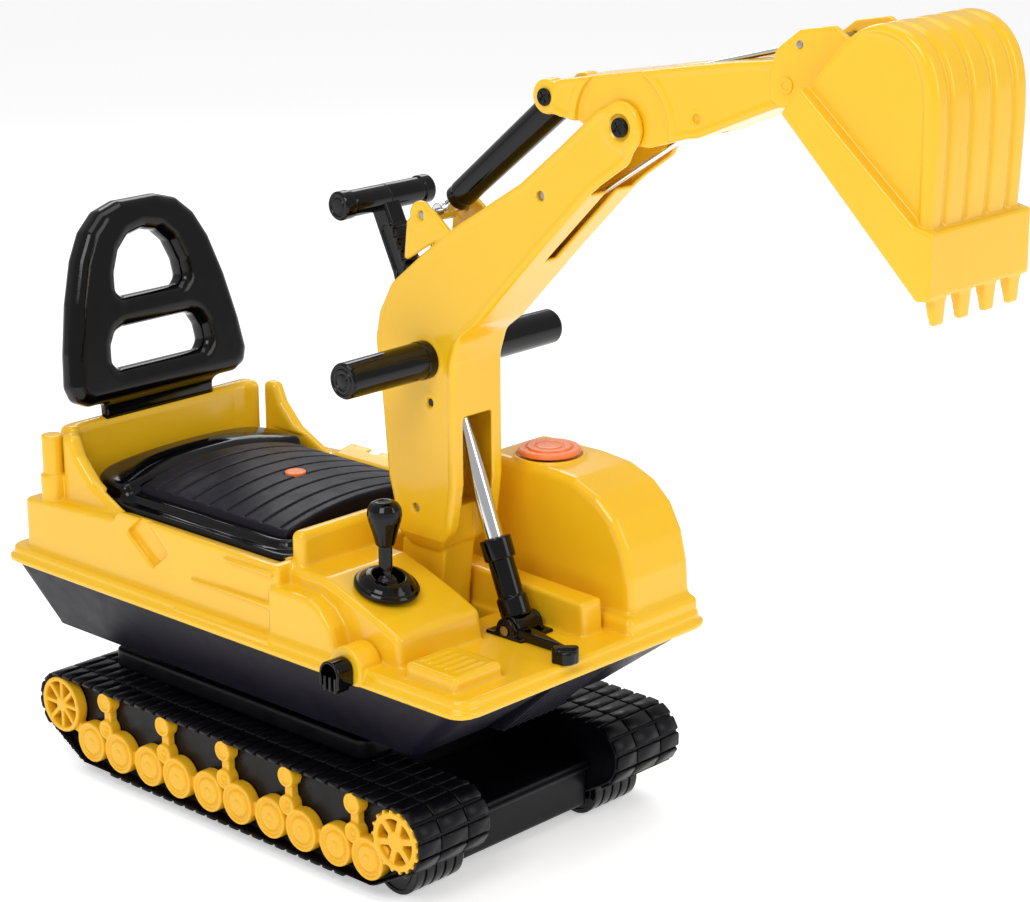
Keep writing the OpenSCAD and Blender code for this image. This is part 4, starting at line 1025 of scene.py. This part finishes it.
for name, look in (("roller_axles", "steel"), ("turntable_ring", "satin"), ("slew_bolt", "steel"),
                   ("slew_nut", "steel"), ("deck_screws", "steel"), ("horn_spring", "steel"),
                   ("bracket_pin", "steel"), ("boom_pivot", "steel"), ("control_lever_pin", "steel")):
    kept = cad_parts[name]
    kept.data.materials.clear()
    kept.data.materials.append(LOOKS[look])

# ---- Floor, light and camera -----------------------------------------------------------


def paper(name, colour, rough):
    """Pale matt paper with a faint mottle."""
    material = bpy.data.materials.new(name)
    material.use_nodes = True
    tree = material.node_tree
    shader = tree.nodes["Principled BSDF"]
    shader.inputs["Roughness"].default_value = rough
    shader.inputs["Emission Color"].default_value = (1, 1, 1, 1)
    shader.inputs["Emission Strength"].default_value = 0.46
    mottle = tree.nodes.new("ShaderNodeTexNoise")
    mottle.inputs["Scale"].default_value = 3
    tint = tree.nodes.new("ShaderNodeMix")
    tint.data_type = "RGBA"
    tint.inputs[6].default_value = (*colour, 1)
    tint.inputs[7].default_value = (*[c * 0.985 for c in colour], 1)
    tree.links.new(mottle.outputs["Fac"], tint.inputs["Factor"])
    tree.links.new(tint.outputs[2], shader.inputs["Base Color"])
    return material


floor_data = bpy.data.meshes.new("floor")
FLOOR_HALF = 14.0
corners = [(x * FLOOR_HALF, y * FLOOR_HALF, 0.0) for x, y in ((-1, -1), (-1, 1), (1, -1), (1, 1))]
floor_data.from_pydata(corners, [], [(0, 2, 3, 1)])
floor_data.materials.append(paper("pale_paper", (0.93, 0.93, 0.93), 0.8))
floor = bpy.data.objects.new("floor", floor_data)
bpy.context.scene.collection.objects.link(floor)

bpy.context.scene.view_settings.view_transform = "Standard"
world = bpy.data.worlds.new("studio")
world.use_nodes = True
world.node_tree.nodes["Background"].inputs["Color"].default_value = (1, 1, 1, 1)
world.node_tree.nodes["Background"].inputs["Strength"].default_value = 0.50
bpy.context.scene.world = world


def softbox(name, place, aim, size, power):
    """A large soft lamp, turned to a point of the object."""
    data = bpy.data.lights.new(name, "AREA")
    data.shape, data.size, data.size_y, data.energy = "RECTANGLE", size[0], size[1], power
    lamp = bpy.data.objects.new(name, data)
    bpy.context.scene.collection.objects.link(lamp)
    lamp.location = place
    lamp.rotation_euler = (Vector(aim) - Vector(place)).to_track_quat("-Z", "Y").to_euler()


middle = (0.15, 0, 0.3)
softbox("key", (0.9, -1.9, 2.1), middle, (1.2, 1.2), 26)
softbox("side", (2.4, 0.9, 1.4), middle, (1.0, 1.6), 13)
softbox("rim", (-1.7, 1.4, 1.9), middle, (1.4, 1.0), 14)
softbox("top", (0.1, 0.0, 2.4), middle, (1.6, 1.2), 12)

# The camera looks from the front right, a little above
AZIMUTH, ELEVATION, ROLL = (math.radians(a) for a in (43.455, 16.650, -0.365))
behind = Vector((math.sin(AZIMUTH) * math.cos(ELEVATION), -math.cos(AZIMUTH) * math.cos(ELEVATION),
                 math.sin(ELEVATION)))
level = (-behind).cross(Vector((0, 0, 1))).normalized()
upright = level.cross(-behind)
right = level * math.cos(ROLL) + upright * math.sin(ROLL)
up = upright * math.cos(ROLL) - level * math.sin(ROLL)
camera_data = bpy.data.cameras.new("camera")
camera_data.sensor_fit, camera_data.sensor_width = "HORIZONTAL", 36
camera_data.lens = 95.5342
camera_data.shift_x, camera_data.shift_y = -0.00074, -0.00833
camera_data.clip_start, camera_data.clip_end = 0.1, 30
camera = bpy.data.objects.new("camera", camera_data)
bpy.context.scene.collection.objects.link(camera)
camera.matrix_world = Matrix.Translation((1.58774, -1.47251, 0.94677)) @ Matrix(
    (right, up, behind)).transposed().to_4x4()
bpy.context.scene.camera = camera
